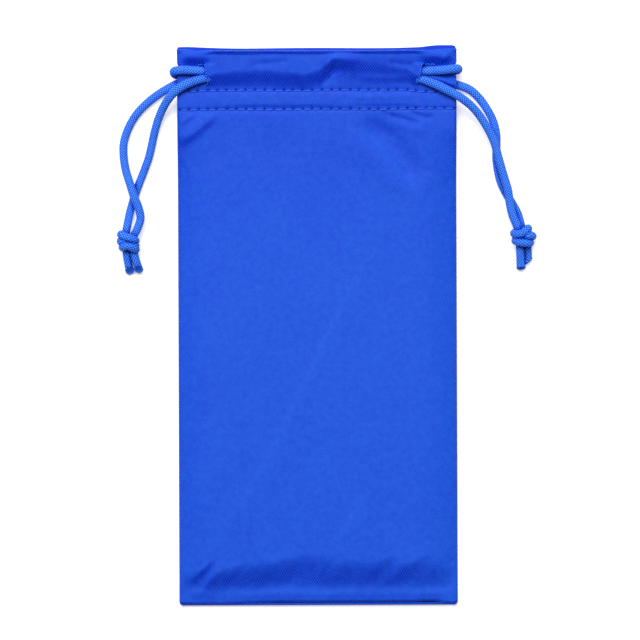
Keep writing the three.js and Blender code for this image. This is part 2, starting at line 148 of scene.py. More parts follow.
# Stitches
STITCH_PITCH = 3.05
HOLE_JITTER = 0.22      # how unevenly the needle holes are spaced
HOLE_RISE = 0.1         # the needle holes lie this far towards the mouth from the thread
FAR_FROM_HOLE = 3.0     # distances to a needle hole are cut off here
STITCH_END = 0.16       # a stitch starts and ends this far from its needle holes
STITCH_LEANS = (0.04, 0.20)     # least and greatest slant of a stitch
ROW_ENDS = (HALF_WIDTH - 0.8, 41.0)     # |x| where the lower and the upper row end
SLIT_TWIST = 0.85       # length of one turn of the thread along a slit's border
HOLE_DENTS = ((0.28, 0.4), (0.07, 1.3))     # depth and width of the dents at a needle hole
ROW_GROOVES = {True: (0.09, 0.6), False: (0.13, 0.6)}       # of the groove along the upper and lower row
WIDE_GROOVE = (0.05, 1.4)       # of the wider, softer groove along each row

# Painted light and shade on the cloth
PAINTED_SHADE_SLOPE = 26.0         # how much painted shade darkens the front where it falls away from the mouth, away from the light
PAINTED_LIGHT_SLOPE = 8.0          # how much painted light brightens it where it rises away from the mouth, towards the light
PAINTED_SLOPE_FLAT = 0.05         # slopes below this get neither painted light nor painted shade
PAINTED_SHADE_INSIDE = -13.0      # painted shade on the turned-in cloth, which lies in shade in the mouth
PAINTED_SHADE_HEM = -3.4          # painted shade, darker towards the hem
PAINTED_SIDES = (-0.4, 1.0)     # painted shade along the left side and painted light along the right side
CREASE_HIGHLIGHT = 2.3        # painted highlight along the lit creases

# Cords
CORD_RADIUS = 1.3
STRAND_START = 1 / 32   # turns the braid so that the crossings show along the top of a cord
RUN_END = 31.0          # where the stretches inside the channels end, near the slits
RUN_APART = 2.5         # between the two cords in the front channel
RUN_ABOVE_FALL = 1.7    # from the middle of the channel's fall to the lower of them, in y
RUN_CROSSING = 5.0      # half the length on which the cords change sides
RUN_CLEAR = 0.62 * CORD_RADIUS      # from the front cloth down to the middle of a cord, at least
FRONT_RUN_Y = (79.85, 82.15)    # of the two cords in the front channel near the slits
BACK_RUN_Y = (79.4, 82.5)       # of the two cords in the back channel
FRONT_RUN_LEVEL = 6.45  # z of the cords in the front channel
BACK_RUN_LEVEL = 1.3    # z of the cords in the back channel
FRONT_OVER = 1.35       # how much higher the upper cord rises at the front crossing
BACK_OVER = 1.3         # how much higher it rises at the back crossing
END_LOOSE = 1.3         # how much looser the braid is at the free ends

# Seams inside the bag
ALLOWANCE_WIDTH = 4.6   # of the joined raw edges
SEAM_LEVEL = 1.62
SEAM_INSET = 0.75       # from the outline to the seam line
SIDE_SEAM_Y = (-84.0, 55.2)     # from which y to which the side seams reach
BOTTOM_SEAM_X = 43.6    # |x| where the bottom seam ends
OVERLOCK_RADIUS = 0.13
OVERLOCK_PITCH = 1.5

# The back's edge over the bottom seam: y and z
RIM = ((0.75, 0.46), (0.5, 0.42), (0.24, 0.3), (0.06, 0.14))

# The front's fall towards the bottom seam: its middle and its length, by x, as distances from the edge
DROP_X = [
    -45.0, -41.0, -37.5, -34.5, -31.0, -26.0, -20.0, -14.0, -9.0, -4.5, 0.0, 4.0, 9.0, 15.0, 19.5, 24.0,
    30.5, 35.0, 40.0, 45.0,
]
DROP_MIDDLE = [
    6.6, 7.2, 9.0, 7.0, 7.6, 8.6, 8.9, 10.0, 10.8, 10.4, 10.0, 9.4, 9.6, 9.3, 10.0, 9.0, 10.0, 9.4, 9.4,
    10.2,
]
DROP_LENGTH = [
    9, 8, 13, 9, 10.5, 11.5, 11.5, 12, 12.5, 13.5, 12.5, 11.5, 11.5, 11.5, 14, 10.5, 13, 11, 10.5, 10,
]
DROP_SLANT = 0.7        # the folds in it lean to the right by this much, away from the bottom
DROP_LEVEL = 8.2        # the distance from the bottom at which they stand at their x

# The channel's fall towards the upper stitches by x: its middle, half its length, and how much is in it
FALL_X = [
    -37.0, -31.0, -26.5, -20.0, -16.4, -10.0, -3.8, 0.6, 3.2, 5.5, 7.6, 9.8, 13.0, 18.0, 23.5, 28.0, 32.0,
    36.0,
]
FALL_Y = [
    78.0, 78.7, 79.0, 79.2, 79.1, 78.7, 78.2, 79.2, 81.0, 83.2, 84.4, 83.8, 81.8, 81.4, 80.9, 80.3, 78.3,
    76.8,
]
FALL_HALF = [2.2, 2.4, 2.7, 2.9, 2.9, 2.9, 2.8, 2.9, 2.9, 2.9, 2.8, 3.0, 3.2, 2.8, 2.7, 2.6, 2.2, 1.8]
FALL_PART = [
    0.9, 0.95, 0.95, 0.85, 0.8, 0.9, 0.95, 1.0, 1.0, 0.80, 0.32, 0.14, 0.2, 0.32, 0.42, 0.55, 0.8, 0.9,
]

# Folds of the front below the hem, folds that start at the lower stitches, and folds of the hem:
# each has its line, its height and its widths to the left and right of the line
BODY_FOLDS = [
    ([(2.0, 58.0), (9.0, 51.0), (13.0, 44.0)], -0.10, 3.4, 3.4),
    ([(14.9, 25.8), (12.9, 14.8), (-16.1, -44.5), (-29.0, -65.8)], 0.17, 9.0, 1.7),
    ([(16.1, -54.2), (5.5, -71.3)], 0.14, 7.0, 1.7),
    ([(-31.0, 58.0), (-35.0, 53.0), (-37.0, 47.0)], -0.16, 3.0, 3.0),
    ([(40.6, -74.2), (43.9, -77.0)], -0.22, 1.0, 1.0),
]
ROW_FOLDS = [
    ([(12.6, 66.6), (23.3, 60.2), (29.2, 51.8), (34.4, 43.0)], -1.00, 4.0, 3.6),
    ([(6.5, 64.6), (17.0, 55.8), (23.8, 48.0), (29.4, 39.0)], 0.45, 3.2, 5.0),
    ([(-45.4, 58.0), (-39.6, 62.0), (-31.4, 69.0)], 0.75, 2.4, 1.6),
    ([(-44.4, 64.4), (-42.0, 66.4), (-39.6, 68.0)], 0.30, 1.2, 1.1),
    ([(19.6, 69.0), (23.0, 67.6), (26.5, 66.3), (30.0, 65.3), (35.0, 64.6)], -0.42, 1.0, 1.4),
    ([(29.4, 69.0), (31.8, 67.6), (34.4, 66.9), (38.6, 66.4)], -0.36, 0.8, 1.2),
    ([(24.0, 66.2), (29.5, 64.4), (37.0, 61.4)], 0.18, 1.3, 1.8),
]
HEM_FOLDS = [
    ([(-43.4, 83.9), (-39.0, 83.4), (-34.2, 83.8)], -0.45, 1.6, 1.2),
    ([(33.6, 83.8), (38.0, 83.2), (42.4, 83.6)], -0.45, 1.6, 1.2),
    ([(40.2, 84.0), (41.5, 86.0), (43.4, 87.8)], 0.40, 0.9, 1.2),
    ([(32.0, 81.4), (37.7, 79.4), (41.4, 78.2), (44.8, 76.9), (48.4, 75.2)], 1.30, 1.05, 1.2),
    ([(35.4, 81.4), (38.5, 80.9), (41.4, 80.1), (44.6, 79.2), (47.0, 78.4)], -0.50, 0.8, 0.7),
    ([(-22.0, 83.6), (-15.0, 84.0), (-8.0, 84.8)], -0.20, 1.0, 1.2),
    ([(21.0, 84.4), (28.9, 83.4), (33.0, 83.3)], -0.22, 1.0, 1.2),
    ([(11.0, 79.4), (22.0, 79.3), (33.0, 79.2)], 0.25, 1.3, 1.2),
    ([(4.0, 73.9), (16.0, 73.2), (34.0, 73.6)], 0.12, 1.0, 1.0),
    ([(-31.0, 70.25), (-20.0, 70.1), (-8.0, 70.0), (7.0, 70.3)], -0.15, 0.6, 0.5),
    ([(9.0, 70.5), (20.0, 70.2), (33.0, 70.5)], -0.12, 0.6, 0.5),
]

# Creases with a painted highlight along their lit side: the line, and the widths to its left and right
LIT_CREASES = [
    ([(13.9, 27.0), (12.0, 15.2), (-17.0, -44.1), (-30.0, -66.0)], 2.2, 1.1),
    ([(15.6, -53.4), (4.6, -71.2)], 1.9, 1.0),
    ([(10.0, 64.6), (20.7, 57.2), (25.9, 50.7), (31.4, 44.0), (34.0, 39.0)], 1.7, 1.5),
]

# The free cords from the slits to the knots
TAILS = {
    "left_cord_front_tail": [
        (-31.7, 79.7, 5.9), (-34.6, 79.7, 6.4), (-36.6, 79.35, 6.7), (-38.9, 78.7, 6.85),
        (-42.2, 77.35, 6.9), (-45.6, 75.1, 6.4), (-48.7, 71.5, 4.6), (-50.95, 67.1, 2.8),
        (-52.4, 62.6, 1.7), (-53.3, 58.6, 1.35), (-54.3, 54.5, 1.3), (-55.8, 50.3, 1.3), (-57.6, 45.7, 1.3),
        (-59.2, 41.1, 1.3), (-60.3, 37.4, 1.4), (-61.0, 34.0, 2.0), (-61.5, 31.0, 2.9), (-61.8, 28.4, 3.2),
    ],
    "left_cord_back_tail": [
        (-31.7, 79.4, 1.8), (-34.6, 79.4, 1.55), (-38.2, 79.2, 1.4), (-42.2, 78.8, 1.32),
        (-46.0, 77.7, 1.3), (-52.3, 74.0, 1.3), (-57.4, 69.4, 1.3), (-60.5, 64.7, 1.3), (-62.3, 59.6, 1.35),
        (-62.5, 56.0, 1.5), (-61.8, 50.8, 2.3), (-60.2, 45.7, 3.7), (-58.9, 41.6, 4.2), (-57.6, 38.5, 4.0),
        (-56.9, 34.8, 3.6), (-57.9, 31.4, 3.7), (-59.4, 28.6, 3.6),
    ],
    "right_cord_front_tail": [
        (29.6, 79.7, 5.3), (32.0, 79.4, 5.95), (34.6, 78.65, 6.7), (37.4, 77.5, 6.9), (41.9, 75.3, 6.95),
        (46.6, 72.65, 6.6), (50.7, 69.2, 5.6), (54.3, 64.2, 4.6), (56.9, 59.1, 4.3), (58.4, 53.9, 4.0),
        (60.0, 48.3, 3.9), (61.5, 43.1, 3.9), (62.0, 39.0, 3.9), (62.8, 35.4, 3.9), (64.0, 32.4, 3.9),
        (65.0, 29.6, 3.7),
    ],
    "right_cord_back_tail": [
        (31.7, 79.4, 1.8), (34.6, 79.4, 1.55), (38.2, 79.0, 1.4), (41.6, 78.4, 1.32), (45.4, 77.5, 1.3),
        (49.2, 76.1, 1.3), (52.2, 73.5, 1.3), (54.8, 69.9, 1.3), (56.9, 65.8, 1.3), (57.9, 61.6, 1.3),
        (57.95, 57.5, 1.3), (57.95, 53.0, 1.3), (59.1, 46.7, 1.3), (60.9, 42.6, 1.3), (62.9, 39.4, 1.35),
        (64.6, 36.2, 1.65), (65.5, 33.2, 1.85), (66.2, 29.9, 2.3),
    ],
}

# Free ends of each cord below its knot
ENDS = {
    "left_cord_front_end": [
        (-61.5, 24.4, 3.0), (-61.25, 21.6, 2.3), (-60.95, 19.7, 1.7), (-60.7, 18.5, 1.6),
        (-60.5, 17.8, 1.75),
    ],
    "left_cord_back_end": [
        (-59.2, 24.4, 3.4), (-58.65, 21.6, 2.8), (-58.15, 20.0, 2.3), (-57.85, 19.0, 2.15),
        (-57.65, 18.2, 2.3),
    ],
    "right_cord_front_end": [
        (65.2, 25.8, 3.2), (65.4, 22.9, 2.8), (65.5, 20.6, 2.3), (65.6, 19.0, 2.15), (65.75, 18.25, 2.2),
    ],
    "right_cord_back_end": [
        (67.7, 26.0, 2.8), (67.85, 23.6, 1.9), (67.95, 21.6, 1.4), (68.0, 20.2, 1.35),
    ],
}
# Slopes of the cuts, upwards and sideways
CUTS = {"left_cord_front_end": (0.7, 0.0), "left_cord_back_end": (0.7, -0.1),
        "right_cord_front_end": (0.3, -0.1), "right_cord_back_end": (0.2, 0.75)}

# Middles of the knots, and the line that the cord winds along in each, from the middle
KNOT_MIDDLES = {"left": (-60.9, 26.9, 3.62), "right": (66.3, 28.5, 3.62)}
KNOT_LINES = {
    "left": [
        (-0.6, 2.6, -1.2), (-1.7, 2.7, -1.3), (-2.3, 2.65, 0.1), (-1.75, 2.35, 1.55), (-0.55, 1.75, 2.15),
        (0.65, 1.3, 2.2), (1.75, 0.95, 1.6), (2.4, 0.6, 0.2), (1.7, 0.6, -1.4), (0.3, 0.9, -2.2),
        (-1.3, 0.8, -1.8), (-2.4, 0.5, -0.3), (-1.95, 0.35, 1.0), (-0.6, 0.1, 1.3), (0.8, -0.3, 1.25),
        (1.9, -0.6, 0.8), (2.3, -0.9, -0.4), (1.6, -1.1, -1.6), (0.2, -1.2, -2.2), (-1.3, -1.3, -1.6),
        (-1.8, -1.5, -0.2), (-1.4, -1.45, 1.3), (-0.35, -1.1, 2.15), (0.8, -1.3, 2.15), (1.85, -1.85, 1.45),
        (2.45, -2.2, 0.1), (1.8, -2.2, -1.4), (0.6, -2.0, -1.6),
    ],
    "right": [
        (-0.9, -1.6, -1.6), (-2.0, -1.5, -1.2), (-2.5, -1.45, 0.1), (-1.9, -1.75, 1.4), (-0.7, -2.05, 2.1),
        (0.6, -2.15, 2.15), (1.6, -2.15, 1.5), (2.2, -2.1, 0.1), (1.6, -1.6, -1.5), (0.0, -1.0, -2.2),
        (-1.6, -0.5, -1.7), (-2.3, -0.5, -0.3), (-1.9, -0.45, 0.8), (-0.8, -0.3, 1.15), (0.4, -0.1, 1.35),
        (1.6, 0.1, 2.0), (2.6, 0.1, 1.3), (3.0, 0.0, -0.1), (2.3, 0.5, -1.5), (0.6, 0.9, -2.2),
        (-1.4, 1.1, -1.8), (-2.9, 1.0, -0.4), (-2.7, 0.75, 1.0), (-1.6, 0.6, 2.0), (-0.4, 0.9, 2.35),
        (0.6, 1.65, 2.15), (1.4, 2.35, 1.2), (1.55, 2.5, -0.3), (0.7, 2.1, -1.3),
    ],
}

# Each cord's turn at the edge across from its tails, given for a right edge
TURNS = {
    "left": [
        (29.6, 81.9, 6.0), (32.6, 81.5, 6.4), (35.0, 81.4, 6.75), (38.3, 81.55, 6.9), (41.5, 81.85, 6.9),
        (43.8, 82.15, 6.75), (45.1, 82.3, 5.9), (45.55, 82.25, 4.35), (45.1, 82.1, 2.6), (43.8, 82.1, 1.5),
        (41.0, 82.3, 1.32), (38.3, 82.5, 1.32), (34.8, 82.6, 1.45), (31.6, 82.6, 1.7),
    ],
    "right": [
        (31.4, 81.95, 6.0), (34.6, 81.75, 6.4), (36.9, 81.7, 6.75), (39.6, 81.85, 6.9), (42.4, 82.05, 6.9),
        (44.4, 82.0, 6.7), (45.6, 81.9, 5.8), (46.0, 81.6, 4.3), (45.6, 81.1, 2.6), (44.3, 80.9, 1.5),
        (41.2, 81.5, 1.32), (38.3, 82.1, 1.32), (34.8, 82.5, 1.45), (31.6, 82.6, 1.7),
    ],
}

# Thread round the two slits, seen from above: x and y
SLIT_THREADS = {
    -1: [
        (-38.2, 83.6), (-37.5, 83.9), (-36.7, 83.8), (-36.0, 83.7), (-35.65, 83.1), (-35.5, 82.5),
        (-35.4, 81.6), (-35.35, 80.4), (-35.25, 79.2), (-35.0, 78.3), (-35.1, 77.6), (-35.6, 77.4),
        (-36.1, 77.5),
    ],
    1: [
        (37.9, 83.6), (37.2, 83.9), (36.5, 83.6), (35.8, 83.9), (35.0, 83.7), (34.2, 83.8), (33.7, 83.3),
        (33.45, 82.6), (33.25, 81.6), (33.0, 80.2), (32.7, 79.0), (32.35, 78.2), (32.0, 77.6), (32.3, 77.2),
    ],
}


# Curves and folds


def smooth(start, end, value):
    """0 before start, 1 after end, and a smooth turn between them."""
    share = np.clip((value - start) / (end - start), 0.0, 1.0)
    return share * share * (3.0 - 2.0 * share)


def mix(first, second, share):
    return first + (second - first) * share


def bump(value, centre, half):
    return smooth(half, 0.0, np.abs(value - centre))


def eased(value, places, levels):
    """Levels at places, with a smooth turn between each two."""
    places = np.asarray(places, float)
    levels = np.asarray(levels, float)
    value = np.clip(value, places[0], places[-1])
    after = np.clip(np.searchsorted(places, value, side="right"), 1, len(places) - 1)
    return mix(levels[after - 1], levels[after], smooth(places[after - 1], places[after], value))


def waves(x, y, seed, length, count=7):
    """A soft uneven surface from -1 to 1, of waves about as long as length."""
    draw = np.random.default_rng(seed)
    total = np.zeros_like(x)
    for _ in range(count):
        angle = draw.uniform(0.0, 2.0 * math.pi)
        number = 2.0 * math.pi / (length * draw.uniform(0.7, 1.5))
        phase = draw.uniform(0.0, 2.0 * math.pi)
        total = total + np.sin(number * (x * math.cos(angle) + y * math.sin(angle)) + phase)
    return total / count


def fold(x, y, line, height, left, right, fade=0.3):
    """A soft fold along a line of points: its height, and its width to the left and right of the line.
    It fades over a share of its length at each end."""
    line = np.asarray(line, float)
    steps = np.linalg.norm(np.diff(line, axis=0), axis=1)
    nearest = np.full(x.shape, np.inf)
    along = np.zeros(x.shape)
    turned = np.zeros(x.shape)
    done = 0.0
    for start, end, length in zip(line[:-1], line[1:], steps):
        dx, dy = (end - start) / length
        forward = np.clip((x - start[0]) * dx + (y - start[1]) * dy, 0.0, length)
        off_x = x - start[0] - forward * dx
        off_y = y - start[1] - forward * dy
        distance = np.hypot(off_x, off_y)
        closer = distance < nearest
        nearest = np.where(closer, distance, nearest)
        along = np.where(closer, done + forward, along)
        turned = np.where(closer, dx * off_y - dy * off_x, turned)
        done += length
    width = np.where(turned > 0.0, left, right)
    share = along / steps.sum()
    level = height * np.exp(-((nearest / width) ** 2))
    return level * smooth(0.0, fade, share) * smooth(1.0, 1.0 - fade, share)


def add_folds(top, x, y, folds, share=1.0):
    for line, height, left, right in folds:
        top = top + fold(x, y, line, height, left, right) * share
    return top


# Surfaces of the bag


def half_width(y):
    """Half the width of the bag at y: round corners, and drawn in where a cord turns."""
    off = CORNER - np.clip(np.minimum(y + HALF_LENGTH, MOUTH_TOP - y), 0.0, CORNER)
    corner = CORNER - np.sqrt(np.maximum(CORNER ** 2 - off ** 2, 0.0))
    return HALF_WIDTH - corner - TURN_BITE * bump(y, TURN_Y, TURN_HALF)


def seam_height(y):
    return mix(BODY_SEAM, HEM_SEAM, smooth(42.0, 70.0, y))


def edge_shape(x, y):
    """0 at the side and bottom seams, 1 beyond the rounded cloth edge."""
    side = 1.0 - np.clip((half_width(y) - np.abs(x)) / EDGE_ROLL, 0.0, 1.0)
    low = 1.0 - np.clip((y + HALF_LENGTH) / EDGE_ROLL, 0.0, 1.0)
    return np.sqrt(np.maximum(1.0 - np.minimum(side ** 2 + low ** 2, 1.0), 0.0))


def slit_shift(x, y):
    """How far the slit of x's side stands outside SLIT_X: the right one leans and lies further in."""
    left, right = (mix(low, high, smooth(start, end, y)) for low, high, start, end in SLIT_LEANS)
    return np.where(x < 0, left, right) * smooth(14.0, 4.5, np.abs(y - SLIT_MIDDLE))


def warp(x, y):
    """Moves the columns near a slit so that they follow it."""
    near = smooth(10.0, 1.4, np.abs(np.abs(x) - SLIT_X - SLIT_GAP / 2))
    return x + np.sign(x) * slit_shift(x, y) * near


def body_top(x, y):
    """Upper side of the front below the hem."""
    side = half_width(y) - np.abs(x)
    low = y + HALF_LENGTH
    seam = seam_height(y)
    across = 1.0 - (1.0 - np.clip(side / SIDE_SWELL, 0.0, 1.0)) ** 2
    slanted = x - DROP_SLANT * (low - DROP_LEVEL)
    past_middle = low - eased(slanted, DROP_X, DROP_MIDDLE)
    along = smooth(-0.5, 0.5, past_middle / eased(slanted, DROP_X, DROP_LENGTH))
    top = seam + EDGE_ROLL * edge_shape(x, y) + (BODY_TOP - seam - EDGE_ROLL) * across * along
    ridge = np.exp(-(((low - ALLOWANCE_MIDDLE) / ALLOWANCE_HALF) ** 2)) * smooth(0.0, 6.0, side)
    top = top + ALLOWANCE_RIDGE * ridge * (1.0 + 0.3 * waves(x, 0 * y, 31, 16.0))
    inside = smooth(0.5, 9.0, side) * smooth(2.0, 16.0, low)
    for height, seed, length in BODY_WAVES:
        top = top + inside * height * waves(x, y, seed, length)
    top = top + HEM_RISE * smooth(16.0, 60.0, y) * smooth(2.0, 16.0, side)
    return add_folds(top, x, y, BODY_FOLDS)


def painted_light(x, y):
    """Painted light and shade on the front: painted highlights above 0 in the creases, painted shade below
    0 near the hem.
    """
    # Painted shade along the left side and painted light along the right side
    side = np.where(x < 0, PAINTED_SIDES[0], PAINTED_SIDES[1]) * smooth(16.0, 0.0, half_width(y) - np.abs(x))
    # Painted shade towards the hem
    light = PAINTED_SHADE_HEM * smooth(24.0, 64.0, y) + side
    # Painted highlight along the lit creases
    for line, left, right in LIT_CREASES:
        light = light + CREASE_HIGHLIGHT * fold(x, y, line, 1.0, left, right, 0.2)
    return light


def front_turned(x, y):
    """Underside of the layer that is turned in behind the front hem."""
    middle = FRONT_TURNED + 0.12 * waves(x, y, 11, 20.0)
    middle = np.minimum(middle, front_top(x, y) - 2 * CLOTH - LAYER_GAP)
    return mix(middle, seam_height(y) + SEAM_GAP, smooth(*TURNED_SIDES, np.abs(x)))


def hem_top(x, y):
    """Upper side of the front's hem."""
    far = np.abs(x)
    fall = smooth(-1.0, 1.0, (y - eased(x, FALL_X, FALL_Y)) / eased(x, FALL_X, FALL_HALF))
    part = eased(x, FALL_X, FALL_PART)
    between = np.clip((y - LOWER_ROW) / (UPPER_ROW - LOWER_ROW), 0.0, 1.0)
    crest = CREST - CREST_SLOPE * (CREST_Y - y) + 0.08 * waves(x, 0 * y, 21, 17.0)
    bulge = CROSSING_LIFT * bump(x, FRONT_CROSSING, CROSSING_HALF_X)
    crest = crest + bulge * bump(y, CROSSING_Y, CROSSING_HALF_Y)
    level = mix(STITCHED + ROWS_SWELL * np.sin(np.pi * between) ** 0.8, crest,
                part * fall + (1.0 - part) * smooth(*LONG_FALL_Y, y))
    bead = FRONT_FOLD_TOP + 0.08 * waves(x, 0 * y, 22, 13.0)
    level = mix(bead, level, smooth(FRONT_MOUTH - 0.3, BEAD_Y + 0.2 * waves(x, 0 * y, 23, 14.0), y))
    outside = mix(HEM_SIDE, CORNER_TOP, smooth(*CORNER_RISE_Y, y) * smooth(*CORNER_RISE_X, far))
    outside = mix(outside, CORNER_MOUTH, smooth(*CORNER_FALL_Y, y))
    slit = SLIT_X + SLIT_GAP / 2
    from_slit = far - slit_shift(x, y)
    beside_slit = smooth(SLIT_LOW - 0.7, SLIT_LOW + 0.1, y) * smooth(SLIT_HIGH + 0.7, SLIT_HIGH - 0.1, y)
    share = mix(smooth(*SIDES_FROM, from_slit), smooth(slit - SLIT_STEP, slit + SLIT_STEP, from_slit),
                beside_slit)
    top = add_folds(mix(level, outside, share), x, y, HEM_FOLDS)
    seam = seam_height(y) + MOUTH_PART * smooth(*MOUTH_PART_Y, y)
    return seam + (top - seam) * edge_shape(x, y)


def row_height(x, upper):
    """Where a stitch row runs, in y."""
    if upper:
        level = UPPER_ROW - 0.32 * smooth(-36.0, -41.0, x) - 0.65 * smooth(27.0, 36.0, x)
        return level + 0.06 * np.sin(x * 0.23)
    return LOWER_ROW + 0.10 * np.sin(x * 0.19 + 1.0) + 0.15 * smooth(20.0, 40.0, x)


def needle_holes(upper):
    """x of the needle holes of a stitch row."""
    draw = np.random.default_rng(41 if upper else 42)
    count = int(2 * (HALF_WIDTH - 0.2) / STITCH_PITCH)
    first = -count * STITCH_PITCH / 2
    return first + STITCH_PITCH * np.arange(count + 1) + draw.uniform(-HOLE_JITTER, HOLE_JITTER, count + 1)


def hole_distance(x, y):
    """Distance to the nearest needle hole."""
    nearest = np.full(x.shape, FAR_FROM_HOLE)
    for upper in (True, False):
        holes = needle_holes(upper)
        after = np.clip(np.searchsorted(holes, x), 1, len(holes) - 1)
        along = np.minimum(np.abs(x - holes[after - 1]), np.abs(x - holes[after]))
        nearest = np.minimum(nearest, np.hypot(along, y - row_height(x, upper) - HOLE_RISE))
    return nearest


def stitch_dents(x, y):
    """How far the stitches pull the cloth in: a groove along each row and a dent at each needle hole."""
    nearest = hole_distance(x, y)
    depth = 0.0
    for deep, wide in HOLE_DENTS:
        depth = depth + deep * np.exp(-((nearest / wide) ** 2))
    for upper, groove in ROW_GROOVES.items():
        off = y - row_height(x, upper)
        for deep, wide in (groove, WIDE_GROOVE):
            depth = depth + deep * np.exp(-((off / wide) ** 2))
    return depth


def front_top(x, y):
    """Upper side of the front."""
    top = mix(body_top(x, y), hem_top(x, y), smooth(HEM_FROM, HEM_END + 0.6, y))
    top = add_folds(top, x, y, ROW_FOLDS, smooth(LOWER_ROW + 0.5, LOWER_ROW - 0.7, y))
    return top - stitch_dents(x, y) * edge_shape(x, y)


def back_under(x, y):
    """Underside of the back."""
    seam = seam_height(y) - MOUTH_PART * smooth(*MOUTH_PART_Y, y)
    lifted = smooth(*LIFT_X, np.abs(x)) * smooth(*LIFT_Y, y)
    base = HEM_LIFT * lifted + BACK_RISE * smooth(*BACK_RISE_Y, y)
    return mix(seam, base, edge_shape(x, y)) + stitch_dents(x, y) * edge_shape(x, y)


def back_turned(x, y):
    """Upper side of the layer that is turned in behind the back hem."""
    channel = smooth(UPPER_ROW, UPPER_ROW + 2.6, y) * smooth(89.3, 85.8, y)
    flat = BACK_FLAT + BACK_FLAT_RISE * smooth(*BACK_FLAT_Y, y)
    middle = mix(flat, BACK_TURNED, channel) + 0.06 * waves(x, y, 12, 18.0)
    middle = np.maximum(middle, back_under(x, y) + 2 * CLOTH + LAYER_GAP)
    return mix(middle, seam_height(y) - SEAM_GAP, smooth(*TURNED_SIDES, np.abs(x)))


def mouth_line(x, front):
    """y of the mouth's fold."""
    if front:
        level = FRONT_MOUTH + 0.10 * np.sin(x * 0.075 - 1.9) + 0.03 * np.sin(x * 0.31)
        return level + 0.7 * smooth(-37.5, -43.0, x) + 0.5 * smooth(36.0, 42.5, x)
    level = BACK_MOUTH + 0.07 * np.sin(x * 0.14 + 2.0)
    return level + 0.16 * bump(x, -42.0, 7.0) + 0.45 * smooth(33.0, 41.0, x)


def bottom_shift(x, front):
    """How far an edge at the bottom seam lies from y = -90: the front's draws back and shows the back's."""
    if front:
        return 0.62 * smooth(-34.0, -12.0, x) * smooth(42.5, 38.0, x) + 0.25 * bump(x, 35.8, 5.0)
    return np.full_like(x, -0.28)


# Meshes


def make_mesh(name, points, face_sets, material, corner=None, values=None):
    """An object in metres from millimetre points and arrays of faces, each with one number of sides."""
    mesh = bpy.data.meshes.new(name)
    mesh.vertices.add(len(points))
    mesh.vertices.foreach_set("co", (np.asarray(points, np.float64) * MM).astype(np.float32).ravel())
    sizes = np.concatenate([np.full(len(faces), faces.shape[1]) for faces in face_sets])
    joined = np.concatenate([faces.ravel() for faces in face_sets])
    mesh.loops.add(len(joined))
    mesh.loops.foreach_set("vertex_index", joined.astype(np.int32))
    mesh.polygons.add(len(sizes))
    mesh.polygons.foreach_set("loop_start", (np.cumsum(sizes) - sizes).astype(np.int32))
    mesh.update(calc_edges=True)
    mesh.validate(clean_customdata=False)
    mesh.polygons.foreach_set("use_smooth", np.full(len(mesh.polygons), True))
    for label, value in (values or {}).items():
        field = mesh.attributes.new(label, "FLOAT", "POINT")
        field.data.foreach_set("value", np.asarray(value, np.float32))
    if corner is not None:
        mesh.normals_split_custom_set(corner)
    mesh.materials.append(material)
    made = bpy.data.objects.new(name, mesh)
    bpy.context.scene.collection.objects.link(made)
    return made


def gathers(made, side):
    """Bakes a piece's placement into its mesh; side, the bag's left (-1) or right (1) half, is not used."""
    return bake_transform(made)


def across_places():
    """x of the cloth's columns from the middle to the side seam."""
    inner = np.arange(0.0, HALF_WIDTH - EDGE_ROLL - 0.25, 0.42)
    slit = SLIT_X + SLIT_GAP * np.array([-0.25, 0.0, 1.0, 1.25])
    inner = inner[np.abs(inner[:, None] - slit[None, :]).min(axis=1) > 0.26]
    inner = inner[(inner < slit[1]) | (inner > slit[2])]
    roll = HALF_WIDTH - EDGE_ROLL * (1.0 - np.sin(np.linspace(0.0, math.pi / 2, 8)))
    return np.unique(np.concatenate([inner, slit, roll]).round(5))


def along_places():
    """y of the cloth's rows from the bottom seam to the start of the mouth's fold."""
    roll = -HALF_LENGTH + EDGE_ROLL * (1.0 - np.cos(np.linspace(0.0, math.pi / 2, 8)))
    low = np.arange(-HALF_LENGTH + EDGE_ROLL + 0.35, -72.0, 0.5)
    body = np.arange(-72.0, 56.0, 0.8)
    ramp = np.arange(56.0, 68.0, 0.5)
    hem = np.arange(68.0, BEND_FROM + 0.05, 0.3)
    slits = np.array([SLIT_LOW, SLIT_HIGH])
    hem = hem[np.abs(hem[:, None] - slits[None, :]).min(axis=1) > 0.16]
    mouth = np.linspace(BEND_FROM, FOLD_FROM, 15)[1:]
    return np.sort(np.concatenate([roll, low, body, ramp, hem, slits, mouth]))


